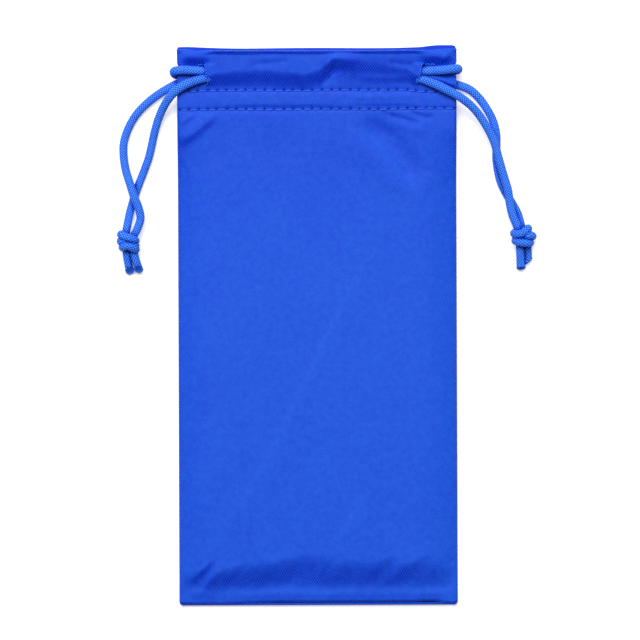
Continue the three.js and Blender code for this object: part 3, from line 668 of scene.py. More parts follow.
def cloth_grid(front):
    """Points of the cloth's right side from the bottom seam over the mouth's fold to the turned-in edge,
    its fields for the material, the number of its first row and how many columns each half has."""
    half = across_places()
    places = np.concatenate([-half[:0:-1], half])
    rows = along_places()
    outer, turned = (front_top, front_turned) if front else (back_under, back_turned)
    end = mouth_line(places, front) - FOLD_DEPTH

    def bent(y):
        """Rows near the mouth follow the mouth's line."""
        share = (y[:, None] - BEND_FROM) / (FOLD_FROM - BEND_FROM)
        return np.where(share > 0.0, BEND_FROM + share * (end[None, :] - BEND_FROM), y[:, None])

    def placed(y):
        plain_x = np.broadcast_to(places[None, :], y.shape)
        drawn_in = (HALF_WIDTH - half_width(y)) * (plain_x / HALF_WIDTH) ** 4
        return warp(plain_x - np.sign(plain_x) * drawn_in, y)

    y_out = bent(rows)
    x_out = placed(y_out)
    z_out = outer(x_out, y_out)
    holes = hole_distance(x_out, y_out)
    y_out = y_out + bottom_shift(places, front)[None, :] * smooth(-84.0, -HALF_LENGTH, y_out)
    down = np.concatenate([np.arange(FOLD_FROM, 76.0, -0.7), np.arange(76.0, HEM_END, -1.2), [HEM_END]])
    y_in = bent(down)
    wavy_edge = 0.25 * np.sin(places * 0.35 + (0.0 if front else 2.0))
    y_in = y_in + wavy_edge[None, :] * smooth(72.0, HEM_END, y_in)
    x_in = placed(y_in) * (1.0 - 0.012 * smooth(88.5, 86.0, y_in))
    z_in = turned(x_in, y_in)
    top, bottom = z_out[-1], z_in[0]
    turn = np.linspace(0.0, math.pi, 12)[1:-1]
    y_fold = end[None, :] + FOLD_DEPTH * np.sin(turn)[:, None]
    z_fold = (top + bottom)[None, :] / 2 + np.cos(turn)[:, None] * (top - bottom)[None, :] / 2
    parts = [(x_out, y_out, z_out), (placed(y_fold), y_fold, z_fold), (x_in, y_in, z_in)]
    if not front:
        rim = np.array(RIM)
        y_rim = -HALF_LENGTH + rim[:, :1] + bottom_shift(places, front)[None, :]
        z_rim = BODY_SEAM + rim[:, 1:] + 0.0 * places[None, :]
        parts.insert(0, (placed(np.broadcast_to(rows[0], y_rim.shape)), y_rim, z_rim))
    grid = np.stack([np.concatenate([part[k] for part in parts]) for k in range(3)], axis=2)
    first = 0 if front else len(RIM)
    far = np.full(grid.shape[:2], FAR_FROM_HOLE)
    far[first:first + len(rows)] = holes
    # Painted light and shade on the cloth, kept as a field for the material
    nap_and_painted_light = np.zeros(grid.shape[:2])
    if front:
        nap_and_painted_light[first:first + len(rows)] = painted_light(x_out, y_out)
    inner = first + len(rows) + len(turn)
    # Painted shade on the turned-in layers inside the mouth
    nap_and_painted_light[inner - 2:inner] = PAINTED_SHADE_INSIDE / 2
    nap_and_painted_light[inner:] = PAINTED_SHADE_INSIDE
    return grid, {"hole": far, "painted_light": nap_and_painted_light}, first, len(half)


def grid_normals(grid, flip):
    normal = np.cross(np.gradient(grid, axis=1), np.gradient(grid, axis=0))
    length = np.linalg.norm(normal, axis=2, keepdims=True)
    return normal / np.maximum(length, 1e-9) * (-1.0 if flip else 1.0)


def cloth_shell(grid, normal, keep):
    """Vertices, quads and corner normals of a closed cloth: right side, wrong side and the rims between.
    The last value tells which vertices of the two sides are in it."""
    rows, columns = grid.shape[:2]
    number = np.arange(rows * columns).reshape(rows, columns)
    quads = np.stack([number[:-1, :-1], number[:-1, 1:], number[1:, 1:], number[1:, :-1]], axis=2)[keep]
    flat = normal.reshape(-1, 3)
    points = np.concatenate([grid.reshape(-1, 3), (grid - normal * CLOTH).reshape(-1, 3)])
    shift = rows * columns
    edges = np.concatenate([quads[:, [k, (k + 1) % 4]] for k in range(4)]).astype(np.int64)
    codes = edges[:, 0] * shift + edges[:, 1]
    opposite = edges[:, 1] * shift + edges[:, 0]
    start, end = edges[~np.isin(codes, opposite)].T
    rims = np.stack([end, start, start + shift, end + shift], axis=1)
    rim_normal = np.cross(points[rims[:, 1]] - points[rims[:, 0]], points[rims[:, 3]] - points[rims[:, 0]])
    rim_normal /= np.maximum(np.linalg.norm(rim_normal, axis=1, keepdims=True), 1e-12)
    faces = np.concatenate([quads, quads[:, ::-1] + shift, rims])
    rim_corner = np.repeat(rim_normal[:, None, :], 4, axis=1)
    corner = np.concatenate([flat[quads], -flat[quads[:, ::-1]], rim_corner])
    used = np.unique(faces)
    order = np.full(2 * shift, -1)
    order[used] = np.arange(len(used))
    return points[used], order[faces], corner.reshape(-1, 3), used


def cloth_halves(front, material):
    """The front or back cloth in two halves that meet at x = 0, each with its slit."""
    grid, fields, first_row, middle = cloth_grid(front)
    normal = grid_normals(grid, not front)
    if front:
        # Painted shade on slopes that face away from the light, and painted light on those that face it
        slope = normal[:, :, 1]
        fields["painted_light"] = (fields["painted_light"] - PAINTED_SHADE_SLOPE * np.clip(-slope - PAINTED_SLOPE_FLAT, 0.0, 0.4)
                             + PAINTED_LIGHT_SLOPE * np.clip(slope - PAINTED_SLOPE_FLAT, 0.0, 0.4))
    slit = int(np.argmin(np.abs(across_places() - SLIT_X)))
    rows = along_places()
    low, high = (first_row + int(np.argmin(np.abs(rows - y))) for y in (SLIT_LOW, SLIT_HIGH))
    layer = "front" if front else "back"
    for side in (-1, 1):
        part = slice(middle - 1, None) if side > 0 else slice(0, middle)
        points, turned = grid[:, part], normal[:, part]
        shades = {label: field[:, part] for label, field in fields.items()}
        keep = np.ones((points.shape[0] - 1, points.shape[1] - 1), bool)
        keep[low:high, slit if side > 0 else middle - 2 - slit] = False
        if not front:
            points, turned, keep = points[:, ::-1], turned[:, ::-1], keep[:, ::-1]
            shades = {label: field[:, ::-1] for label, field in shades.items()}
        verts, faces, corner, used = cloth_shell(points, turned, keep)
        wrong_side = {"hole": FAR_FROM_HOLE, "painted_light": 0.0}
        values = {label: np.concatenate([field.ravel(), np.full(field.size, wrong_side[label])])[used]
                  for label, field in shades.items()}
        piece = make_mesh(f"{layer}_cloth_{SIDE_NAMES[side]}", verts, [faces], material, corner, values)
        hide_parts(f"{layer}_cloth")
        gathers(piece, side)
        yield SIDE_NAMES[side], piece


# Tubes


def through(points, step):
    """A smooth line through points, with places a step apart."""
    points = np.asarray(points, float)
    ends = np.array([2 * points[0] - points[1], 2 * points[-1] - points[-2]])
    p = np.vstack([ends[:1], points, ends[1:]])
    line = []
    for p0, p1, p2, p3 in zip(p[:-3], p[1:-2], p[2:-1], p[3:]):
        t = np.linspace(0.0, 1.0, 24, endpoint=False)[:, None]
        d0 = math.sqrt(np.linalg.norm(p1 - p0))
        d1 = math.sqrt(np.linalg.norm(p2 - p1))
        d2 = math.sqrt(np.linalg.norm(p3 - p2))
        m1 = ((p1 - p0) / d0 - (p2 - p0) / (d0 + d1) + (p2 - p1) / d1) * d1
        m2 = ((p2 - p1) / d1 - (p3 - p1) / (d1 + d2) + (p3 - p2) / d2) * d1
        h = 2 * t ** 3 - 3 * t ** 2 + 1, t ** 3 - 2 * t ** 2 + t, -2 * t ** 3 + 3 * t ** 2, t ** 3 - t ** 2
        line.append(h[0] * p1 + h[1] * m1 + h[2] * p2 + h[3] * m2)
    line = np.vstack(line + [points[-1:]])
    far = np.concatenate([[0.0], np.cumsum(np.linalg.norm(np.diff(line, axis=0), axis=1))])
    count = max(int(round(far[-1] / step)), 2)
    wanted = np.linspace(0.0, far[-1], count + 1)
    return np.stack([np.interp(wanted, far, line[:, k]) for k in range(3)], axis=1), wanted


def frames_along(line):
    """Tangents and two directions across, which turn as little as they can along the line."""
    tangent = np.gradient(line, axis=0)
    tangent /= np.linalg.norm(tangent, axis=1, keepdims=True)
    side = np.cross(tangent[0], [0.0, 0.0, 1.0])
    if np.linalg.norm(side) < 0.1:
        side = np.cross(tangent[0], [0.0, 1.0, 0.0])
    sides = []
    for t in tangent:
        side = side - t * np.dot(side, t)
        side = side / np.linalg.norm(side)
        sides.append(side)
    sides = np.array(sides)
    return tangent, sides, np.cross(tangent, sides)


def circles(angle, across, up):
    """A circle of radius 1 for each place along a line."""
    return np.cos(angle)[None, :, None] * across[:, None, :] + np.sin(angle)[None, :, None] * up[:, None, :]


def tube_quads(number):
    """Quads between rings, whose vertex numbers are given ring by ring."""
    ahead = np.roll(number, -1, axis=1)
    return np.stack([number[:-1], number[1:], ahead[1:], ahead[:-1]], axis=2).reshape(-1, 4)


def braid_relief(around, along, strands, pitch):
    """Height from 0 to 1 of a plain braid: two sets of strands that wind both ways, over and under."""
    a = around * strands + along / pitch
    b = around * strands - along / pitch
    fa, fb = a - np.floor(a), b - np.floor(b)
    over_a = (np.floor(a) + np.floor(b)) % 2 == 0
    across, length = np.where(over_a, fa, fb), np.where(over_a, fb, fa)
    rounded = np.sqrt(np.maximum(1.0 - (2.0 * across - 1.0) ** 2, 0.0))
    return rounded * (0.5 + 0.5 * np.sin(np.pi * length))


# Rings of a cut end from its rim inwards: size, how far out in radii, how much it looks cut, braid value
CAP_RINGS = ((0.86, 0.14, 0.0, 0.85), (0.58, -0.06, 0.5, 0.7), (0.3, -0.24, 1.0, 0.5))
CAP_MIDDLE = 0.3        # how far in the middle of a cut end is, in cord radii, and its braid value
PLAIN_CAP = 0.1         # how far the rings of a hidden end bulge out, in cord radii


def braided_tube(name, points, material, settings, tall=1.0, wide=1.0, step=0.13, sides=56, cut_end=None,
                 loose=1.0):
    """A braided cord along points. tall and wide are its height and width against its diameter,
    as numbers or as functions of the share of its length. cut_end is a cut's slope upwards and sideways,
    and loose is how much longer the braid's crossings are than in a tight cord."""
    line, along = through(points, step)
    tangent, across, up = frames_along(line)
    share = along / along[-1]
    around = np.arange(sides) / sides
    angle = 2 * math.pi * around
    pitch = settings.braid_pitch / MM * loose
    relief = braid_relief(around[None, :] + STRAND_START, along[:, None], settings.strands, pitch)
    bulge = CORD_RADIUS - settings.relief / MM * (1.0 - relief)
    spread = circles(angle, across, up) * bulge[:, :, None]
    heights, widths = (np.array([size(s) if callable(size) else size for s in share])
                       for size in (tall, wide))
    spread[:, :, 2] *= heights[:, None]
    spread[:, :, :2] *= widths[:, None, None]
    rings = line[:, None, :] + spread
    if cut_end:
        tilt, slant = cut_end
        back = (tilt * spread[:, :, 2] + slant * spread[:, :, 0]) * smooth(0.70, 1.0, share)[:, None]
        rings = rings - tangent[:, None, :] * back[:, :, None]
    count = len(line)
    number = np.arange(count * sides).reshape(count, sides)
    placed = [rings.reshape(-1, 3)]
    faces = [tube_quads(number)]
    braid = [relief.ravel()]
    cut = [np.zeros(count * sides)]
    total = count * sides
    for at, is_cut in ((0, False), (count - 1, cut_end is not None)):
        way = 1 if at else -1
        centre = rings[at].mean(axis=0)
        outward = tangent[at] * way
        wobble = 1.0 + (0.05 * np.sin(5 * angle + at)[:, None] if is_cut else 0.0)
        outer = number[at]
        for size, depth, looks_cut, light in CAP_RINGS:
            ring = centre + (rings[at] - centre) * size * wobble
            placed.append(ring + outward * CORD_RADIUS * (depth if is_cut else PLAIN_CAP))
            braid.append(np.full(sides, light))
            cut.append(np.full(sides, looks_cut if is_cut else 0.0))
            inner = total + np.arange(sides)
            strip = np.stack([outer, np.roll(outer, -1), np.roll(inner, -1), inner], axis=1)
            faces.append(strip[:, ::way])
            outer = inner
            total += sides
        placed.append((centre - outward * CORD_RADIUS * (CAP_MIDDLE if is_cut else 0.0))[None, :])
        braid.append([CAP_MIDDLE])
        cut.append([1.0 if is_cut else 0.0])
        faces.append(np.stack([outer, np.roll(outer, -1), np.full(sides, total)], axis=1)[:, ::way])
        total += 1
    values = {"braid": np.concatenate(braid), "cut": np.concatenate(cut)}
    return make_mesh(name, np.concatenate(placed), faces, material, values=values), line


def plain_tubes(name, lines, radius, material, sides=8, taper=0.0):
    """Many short round threads in one object. Each line is a row of points in millimetres."""
    angle = np.arange(sides) * 2 * math.pi / sides
    placed, faces = [], []
    total = 0
    for line in lines:
        line = np.asarray(line, float)
        _, across, up = frames_along(line)
        share = np.linspace(0.0, 1.0, len(line))
        size = radius * (1.0 - taper * (1.0 - np.sin(np.pi * share)) ** 3)
        placed.append((line[:, None, :] + circles(angle, across, up) * size[:, None, None]).reshape(-1, 3))
        number = total + np.arange(len(line) * sides).reshape(len(line), sides)
        faces += [tube_quads(number), number[:1], number[-1:, ::-1]]
        total += len(line) * sides
    return make_mesh(name, np.concatenate(placed), faces, material)


# Materials


class Nodes:
    """Short calls for building the node tree of a material or world."""

    def __init__(self, owner, output):
        owner.use_nodes = True
        self.owner = owner
        self.tree = owner.node_tree
        self.tree.nodes.clear()
        self.output = self.tree.nodes.new(output)

    def fill(self, slot, value):
        """Links a socket to a slot, or sets a plain value on it."""
        if isinstance(value, bpy.types.NodeSocket):
            self.tree.links.new(value, slot)
        else:
            slot.default_value = value

    def add(self, kind, inputs=None, out=0, **settings):
        """A node with its settings and its inputs, by name or number. Gives one of its outputs."""
        made = self.tree.nodes.new(kind)
        for key, value in settings.items():
            setattr(made, key, value)
        for key, value in (inputs or {}).items():
            self.fill(made.inputs[key], value)
        return made.outputs[out]

    def maths(self, operation, *values):
        return self.add("ShaderNodeMath", dict(enumerate(values)), operation=operation)

    def noise(self, scale, detail, roughness=0.5):
        place = self.add("ShaderNodeTexCoord", out="Object")
        return self.add("ShaderNodeTexNoise", {"Vector": place, "Scale": scale, "Detail": detail,
                                               "Roughness": roughness}, out="Fac")

    def attribute(self, name):
        return self.add("ShaderNodeAttribute", out="Fac", attribute_name=name)

    def blend(self, share, first, second):
        """A colour between two."""
        return self.add("ShaderNodeMix", {0: share, 6: first, 7: second}, out=2, data_type="RGBA")

    def ramp(self, value, stops):
        made = self.tree.nodes.new("ShaderNodeValToRGB")
        self.fill(made.inputs[0], value)
        elements = made.color_ramp.elements
        while len(elements) < len(stops):
            elements.new(0.5)
        for element, (place, shade) in zip(elements, stops):
            element.position = place
            element.color = shade
        return made.outputs[0]

    def surface(self, colour, height, strength, distance, **inputs):
        """The finished material: a colour over dents of a height, with constants for the other inputs."""
        dents = self.add("ShaderNodeBump", {"Strength": strength, "Distance": distance, "Height": height})
        inputs = {key.replace("_", " "): value for key, value in inputs.items()}
        shader = self.add("ShaderNodeBsdfPrincipled", {"Base Color": colour, "Normal": dents, **inputs})
        return self.finish(shader)

    def finish(self, shader):
        self.tree.links.new(shader, self.output.inputs["Surface"])
        return self.owner


def material_nodes(name):
    return Nodes(bpy.data.materials.new(name), "ShaderNodeOutputMaterial")


def tuned(base, *shares):
    """The base colour with its own share for red, green and blue, or one share for all."""
    red, green, blue = shares if len(shares) == 3 else shares * 3
    return (base[0] * red, base[1] * green, base[2] * blue, 1.0)


def microfibre(settings):
    """Fine diagonal weave with a soft nap, with the painted light and shade that the cloth's mesh carries,
    and painted shade in the needle holes.
    """
    nodes = material_nodes("microfibre")
    place = nodes.add("ShaderNodeTexCoord", out="Object")
    ribs = []
    for way in (1.0, -1.0):
        # Ribs at 45 degrees on faces that look up, and on those that look along y
        turn = (0.0, way * math.atan(1.0), way * math.atan(math.sqrt(0.5)))
        turned = nodes.add("ShaderNodeMapping", {"Vector": place, "Rotation": turn})
        scale = math.pi / 10 / settings.weave_pitch * math.sqrt(1.5)
        wave = {"Vector": turned, "Scale": scale, "Distortion": 0.5, "Detail": 1.0, "Detail Scale": 2.0}
        ribs.append(nodes.add("ShaderNodeTexWave", wave, out="Fac", bands_direction="X"))
    weave = nodes.maths("MULTIPLY_ADD", nodes.maths("MAXIMUM", *ribs), 0.5, nodes.maths("MULTIPLY", *ribs))
    nap_and_painted_light = nodes.noise(2600.0, 2.0)
    light = nodes.maths("MULTIPLY", nodes.noise(75.0, 3.0, 0.55), 0.12)
    light = nodes.maths("MULTIPLY_ADD", weave, 0.28, light)
    light = nodes.maths("MULTIPLY_ADD", nap_and_painted_light, 0.10, light)
    light = nodes.maths("SUBTRACT", light, 0.12)
    light = nodes.maths("MULTIPLY_ADD", nodes.noise(520.0, 4.0, 0.7), 0.40, light)
    # Painted light and shade that the cloth's mesh carries
    light = nodes.maths("MULTIPLY_ADD", nodes.attribute("painted_light"), 0.02, light)
    base = settings.colour
    tint = nodes.ramp(light, [(0.05, tuned(base, 0.0, 0.30, 0.82)), (0.60, tuned(base, 1.6, 1.50, 1.12))])
    # Painted shade in the needle holes: the cloth turns dark near each hole
    hole_shade_stops = [(0.12, (1.0, 1.0, 1.0, 1.0)), (0.58, (0.0, 0.0, 0.0, 1.0))]
    hole_shade = nodes.ramp(nodes.attribute("hole"), hole_shade_stops)
    height = nodes.maths("MULTIPLY_ADD", nap_and_painted_light, 0.5, weave)
    colour = nodes.blend(hole_shade, tint, tuned(base, 0.10))
    return nodes.surface(colour, height, 0.35, 0.00006, Roughness=0.62, Specular_IOR_Level=0.18,
                         Sheen_Weight=0.025, Sheen_Roughness=0.45, Sheen_Tint=(0.45, 0.62, 1.0, 1.0))


def braided_cord(settings):
    """Braided polyester: a painted highlight on the strands, painted shade between them and in the gaps,
    and plain at cut ends.
    """
    nodes = material_nodes("braided_cord")
    fibres = nodes.noise(1500.0, 3.0)
    # Painted highlight on the strands and painted shade in the gaps between them, from the braid's relief
    light = nodes.maths("MULTIPLY_ADD", nodes.attribute("braid"), 1.5, -0.48)
    light = nodes.maths("MULTIPLY_ADD", fibres, 0.24, light)
    light = nodes.maths("MULTIPLY_ADD", nodes.noise(160.0, 2.0), 0.12, light)
    # Painted shade in the knots' creases and between cords, from ambient occlusion
    occlusion_shade = nodes.add("ShaderNodeAmbientOcclusion", {"Distance": 0.0017}, out="AO", samples=8)
    light = nodes.maths("MULTIPLY_ADD", nodes.maths("SUBTRACT", occlusion_shade, 0.91), 1.45, light)
    base = settings.colour
    tint = nodes.ramp(light, [(0.0, tuned(base, 0.0, 0.10, 0.36)), (0.25, tuned(base, 0.1, 0.42, 0.82)),
                              (0.55, tuned(base, 0.4, 0.76, 0.99)), (0.80, tuned(base, 1.4, 1.16, 1.08)),
                              (1.0, tuned(base, 4.6, 2.1, 1.22))])
    ends = nodes.ramp(fibres, [(0.3, tuned(base, 0.3, 0.52, 0.80)), (0.7, tuned(base, 1.4, 1.10, 1.08))])
    colour = nodes.blend(nodes.attribute("cut"), tint, ends)
    return nodes.surface(colour, fibres, 0.4, 0.00008, Roughness=0.5, Specular_IOR_Level=0.08)


def sewing_thread(settings):
    """Twisted thread, a little lighter on the twist."""
    nodes = material_nodes("sewing_thread")
    place = nodes.add("ShaderNodeTexCoord", out="Object")
    twist = nodes.add("ShaderNodeTexWave", {"Vector": place, "Scale": 900.0, "Distortion": 0.8}, out="Fac",
                      bands_direction="DIAGONAL")
    base = settings.thread_colour
    tint = nodes.ramp(twist, [(0.1, tuned(base, 0.75)), (0.9, tuned(base, 1.15))])
    return nodes.surface(tint, twist, 0.5, 0.00005, Roughness=0.5, Specular_IOR_Level=0.4)


def studio_floor(settings):
    """Pale floor that the camera sees as white, with the pouch's soft shadow on it."""
    nodes = material_nodes("studio_floor")
    base = settings.floor_colour
    tint = nodes.ramp(nodes.noise(300.0, 2.0), [(0.0, tuned(base, 0.99)), (1.0, tuned(base, 1.0))])
    diffuse = nodes.add("ShaderNodeBsdfDiffuse", {"Color": tint})
    camera, glossy, through_glass = (nodes.add("ShaderNodeLightPath", out=f"Is {ray} Ray")
                                     for ray in ("Camera", "Glossy", "Transmission"))
    seen = nodes.maths("MAXIMUM", nodes.maths("MAXIMUM", camera, glossy), through_glass)
    glow = nodes.add("ShaderNodeEmission", {"Color": (1.0, 1.0, 1.0, 1.0),
                                            "Strength": nodes.maths("MULTIPLY", seen, settings.floor_lift)})
    return nodes.finish(nodes.add("ShaderNodeAddShader", {0: diffuse, 1: glow}))


def cloth_material(context):
    return bpy.data.materials.get("microfibre") or microfibre(context.scene.pouch_cloth)


def thread_material(context):
    return bpy.data.materials.get("sewing_thread") or sewing_thread(context.scene.pouch_cloth)


def cord_material(context):
    return bpy.data.materials.get("braided_cord") or braided_cord(context.scene.pouch_cord)


# Settings


class POUCH_PG_cloth(PropertyGroup):
    """Cloth, thread and stitches of the bag"""
    colour: FloatVectorProperty(name="Cloth Colour", description="Colour of the microfibre", size=3,
                                subtype="COLOR", default=(0.009, 0.084, 0.678), min=0.0, max=1.0)
    thread_colour: FloatVectorProperty(name="Thread Colour", description="Colour of the sewing thread",
                                       size=3, subtype="COLOR", default=(0.012, 0.120, 0.84), min=0.0,
                                       max=1.0)
    weave_pitch: FloatProperty(name="Weave Pitch", description="Distance between the weave's diagonal ribs",
                               default=0.00058, min=0.0002, max=0.003, unit="LENGTH", precision=5)
    thread: FloatProperty(name="Thread", description="Diameter of the sewing thread", default=0.00042,
                          min=0.0001, max=0.001, unit="LENGTH", precision=5)


class POUCH_PG_cord(PropertyGroup):
    """The two braided cords"""
    colour: FloatVectorProperty(name="Cord Colour", description="Colour of the braided cord", size=3,
                                subtype="COLOR", default=(0.022, 0.150, 0.82), min=0.0, max=1.0)
    strands: IntProperty(name="Strands", description="Strands that wind each way round the cord", default=8,
                         min=3, max=12)
    braid_pitch: FloatProperty(name="Braid Pitch",
                               description="Length of one strand crossing along the cord", default=0.00092,
                               min=0.0003, max=0.005, unit="LENGTH", precision=5)
    relief: FloatProperty(name="Relief", description="Depth of the gaps between the strands",
                          default=0.00023, min=0.0, max=0.0005, unit="LENGTH", precision=5)


class POUCH_PG_stage(PropertyGroup):
    """Camera, light and floor"""
    camera_height: FloatProperty(name="Camera Height", description="Height of the camera above the floor",
                                 default=0.7763, min=0.1, max=3.0, unit="LENGTH")
    lens: FloatProperty(name="Lens", description="Focal length in millimetres", default=135.0, min=10.0,
                        max=300.0)
    softbox: FloatProperty(name="Softbox", description="Power of the large soft light", default=63.0,
                           min=0.0, max=500.0, unit="POWER")
    sky: FloatProperty(name="Surround", description="Brightness of the white surround", default=0.22,
                       min=0.0, max=2.0)
    floor_colour: FloatVectorProperty(name="Floor Colour", description="Colour of the pale floor", size=3,
                                      subtype="COLOR", default=(0.86, 0.86, 0.86), min=0.0, max=1.0)
    floor_lift: FloatProperty(name="Floor Lift", description="Brightness added to the floor for the camera",
                              default=0.46, min=0.0, max=1.0)


# Pieces

CAMERA_X, CAMERA_Y = 0.00077, 0.00177
CAMERA_TURN = -0.0036
LAMP_PLACE = (-0.22, 1.1, 1.95)
LAMP_SIZE = (1.9, 1.3)
FLOOR_RADII = (400.0, 1500.0, 6000.0)
FLOOR_SIDES = 96


class POUCH_OT_stage(Operator):
    """Camera above the pouch, a large soft light, a white surround and the floor"""
    bl_idname = "pouch.stage"
    bl_label = "Stage"

    def execute(self, context):
        settings = context.scene.pouch_stage
        scene = context.scene
        scene.view_settings.view_transform = "Standard"
        camera_data = bpy.data.cameras.new("camera")
        camera_data.lens = settings.lens
        camera_data.sensor_width = 36.0
        camera_data.clip_start = 0.01
        camera = bpy.data.objects.new("camera", camera_data)
        camera.location = (CAMERA_X, CAMERA_Y, settings.camera_height)
        camera.rotation_euler = (0.0, 0.0, CAMERA_TURN)
        scene.collection.objects.link(camera)
        scene.camera = camera
        lamp_data = bpy.data.lights.new("softbox", "AREA")
        lamp_data.shape = "RECTANGLE"
        lamp_data.size, lamp_data.size_y = LAMP_SIZE
        lamp_data.energy = settings.softbox
        lamp = bpy.data.objects.new("softbox", lamp_data)
        lamp.location = LAMP_PLACE
        lamp.rotation_euler = (-Vector(LAMP_PLACE)).to_track_quat("-Z", "Y").to_euler()
        scene.collection.objects.link(lamp)
        nodes = Nodes(bpy.data.worlds.new("surround"), "ShaderNodeOutputWorld")
        seen = nodes.add("ShaderNodeLightPath", out="Is Camera Ray")
        strength = nodes.maths("MULTIPLY_ADD", seen, 1.0 - settings.sky, settings.sky)
        scene.world = nodes.finish(nodes.add("ShaderNodeBackground", {"Strength": strength}))
        self.lay_floor(settings)
        return {"FINISHED"}

    def lay_floor(self, settings):
        angle = np.arange(FLOOR_SIDES) * 2 * math.pi / FLOOR_SIDES
        ring = np.stack([np.cos(angle), np.sin(angle), 0 * angle], axis=1)
        points = np.concatenate([ring * radius for radius in FLOOR_RADII] + [np.zeros((1, 3))])
        number = np.arange(len(FLOOR_RADII) * FLOOR_SIDES).reshape(-1, FLOOR_SIDES)
        middle = np.full(FLOOR_SIDES, len(points) - 1)
        fan = np.stack([number[0], np.roll(number[0], -1), middle], axis=1)
        make_mesh("floor", points, [fan, tube_quads(number)], studio_floor(settings))


def lay_cloth(context, front, parts_of, **rests):
    """The two halves of a cloth."""
    layer = "front" if front else "back"
    for side, piece in cloth_halves(front, cloth_material(context)):
        parts = [f"{layer}_{kind}_stitches_{side}" for kind in ("upper", "lower", "slit")]
        parts + parts_of(side)


class POUCH_OT_front_cloth(Operator):
    """The front cloth with its turned hem, channel and slits, in two halves"""
    bl_idname = "pouch.front_cloth"
    bl_label = "Front Cloth"

    def execute(self, context):
        lay_cloth(context, True, lambda side: [f"{side}_seam_allowance", f"{side}_seam_overlock"],
                  rests_on=["back_cloth"])
        return {"FINISHED"}


class POUCH_OT_back_cloth(Operator):
    """The back cloth with its turned hem, channel and slits, in two halves"""
    bl_idname = "pouch.back_cloth"
    bl_label = "Back Cloth"

    def execute(self, context):
        bottom = {"left": ["bottom_seam_allowance", "bottom_seam_overlock"], "right": []}
        lay_cloth(context, False, bottom.get)
        return {"FINISHED"}


def tail_height(share):
    """A tail's height against its diameter: pressed flat inside the channel, a little flat at its slit."""
    return 1.0 - 0.08 * smooth(0.45, 0.10, share) - 0.38 * smooth(0.055, 0.015, share)


def tail_width(share):
    return 1.05 + 0.10 * smooth(0.45, 0.10, share)


def end_width(share):
    """A free end's width against its diameter: a little wider at its cut."""
    return 1.06 + 0.12 * smooth(0.80, 0.97, share)


def turn_height(share):
    """A turn's height against its diameter: pressed flat where it ends, inside the channels."""
    return 0.95 - 0.36 * (smooth(0.11, 0.03, share) + smooth(0.89, 0.97, share))


def cord_piece(context, name, node, points, **shape):
    """A piece of braided cord that stands for a CAD node, and the line that it follows."""
    piece, line = braided_tube(name, points, cord_material(context), context.scene.pouch_cord, **shape)
    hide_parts(node)
    return piece, line


class POUCH_OT_ends(Operator):
    """The cut ends of the cords below the knots"""
    bl_idname = "pouch.ends"
    bl_label = "Cord Ends"

    def execute(self, context):
        for node, points in ENDS.items():
            side, _, layer, _ = node.split("_")
            piece, _ = cord_piece(context, f"{side}_{layer}_cut_end", node, points, tall=0.96,
                                  wide=end_width, cut_end=CUTS[node], loose=END_LOOSE)
            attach(piece, f"{side}_pull")
        return {"FINISHED"}


class POUCH_OT_knots(Operator):
    """The knot at each side, wound from the cord"""
    bl_idname = "pouch.knots"
    bl_label = "Knots"

    def execute(self, context):
        for side, middle in KNOT_MIDDLES.items():
            points = np.array(KNOT_LINES[side]) + np.array(middle)
            piece, _ = cord_piece(context, f"{side}_tied_knot", f"{side}_knot", points, wide=1.05)
            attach(piece, f"{side}_pull")
        return {"FINISHED"}


class POUCH_OT_tails(Operator):
    """The free cords from the slits to the knots"""
    bl_idname = "pouch.tails"
    bl_label = "Cord Tails"

    def execute(self, context):
        for node, points in TAILS.items():
            side, _, layer, _ = node.split("_")
            piece, line = cord_piece(context, f"{side}_{layer}_tail", node, points, tall=tail_height,
                                     wide=tail_width)
            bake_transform(piece)
            length = float(np.linalg.norm(np.diff(line, axis=0), axis=1).sum()) * MM
        return {"FINISHED"}


class POUCH_OT_turns(Operator):
    """Each cord's turn round a side edge, from the front slit to the back one"""
    bl_idname = "pouch.turns"
    bl_label = "Cord Turns"

    def execute(self, context):
        for owner, side in (("left", 1), ("right", -1)):
            points = [(side * x, y, z) for x, y, z in TURNS[owner]]
            piece, _ = cord_piece(context, f"{owner}_edge_turn", f"{owner}_cord_turn", points,
                                  tall=turn_height, wide=1.1)
            gathers(piece, side)
        return {"FINISHED"}


def run_line(front, over, side):
    """One cord inside a channel, on one half of the bag, from the middle outwards. Each cord starts low
    at its own side's slit and ends high at the other one, and they cross one over the other."""
    crossing = FRONT_CROSSING if front else BACK_CROSSING
    x = np.linspace(0.0, RUN_END, 40) * side
    near_slit = smooth(26.0, 31.0, np.abs(x))
    across = smooth(crossing - RUN_CROSSING, crossing + RUN_CROSSING, x)
    if over:
        across = 1.0 - across
    if front:
        apart = RUN_APART * (1.0 - 0.95 * bump(x, crossing, 6.0))
        y = eased(x, FALL_X, FALL_Y) + RUN_ABOVE_FALL + apart * across
        y = mix(y, mix(*FRONT_RUN_Y, across), smooth(23.0, 30.0, np.abs(x)))
        level = FRONT_RUN_LEVEL + (FRONT_OVER * bump(x, crossing, 7.0) if over else 0.0) - 0.1 * near_slit
        cover = np.min([front_top(x, y + off) for off in (-1.2, 0.0, 1.2)], axis=0)
        z = np.minimum(level, cover - CLOTH - RUN_CLEAR)
    else:
        y = mix(*BACK_RUN_Y, across)
        z = BACK_RUN_LEVEL + (BACK_OVER * bump(x, crossing, 8.0) if over else 0.0) + 0.35 * near_slit
    return np.stack([x, y, z], axis=1)


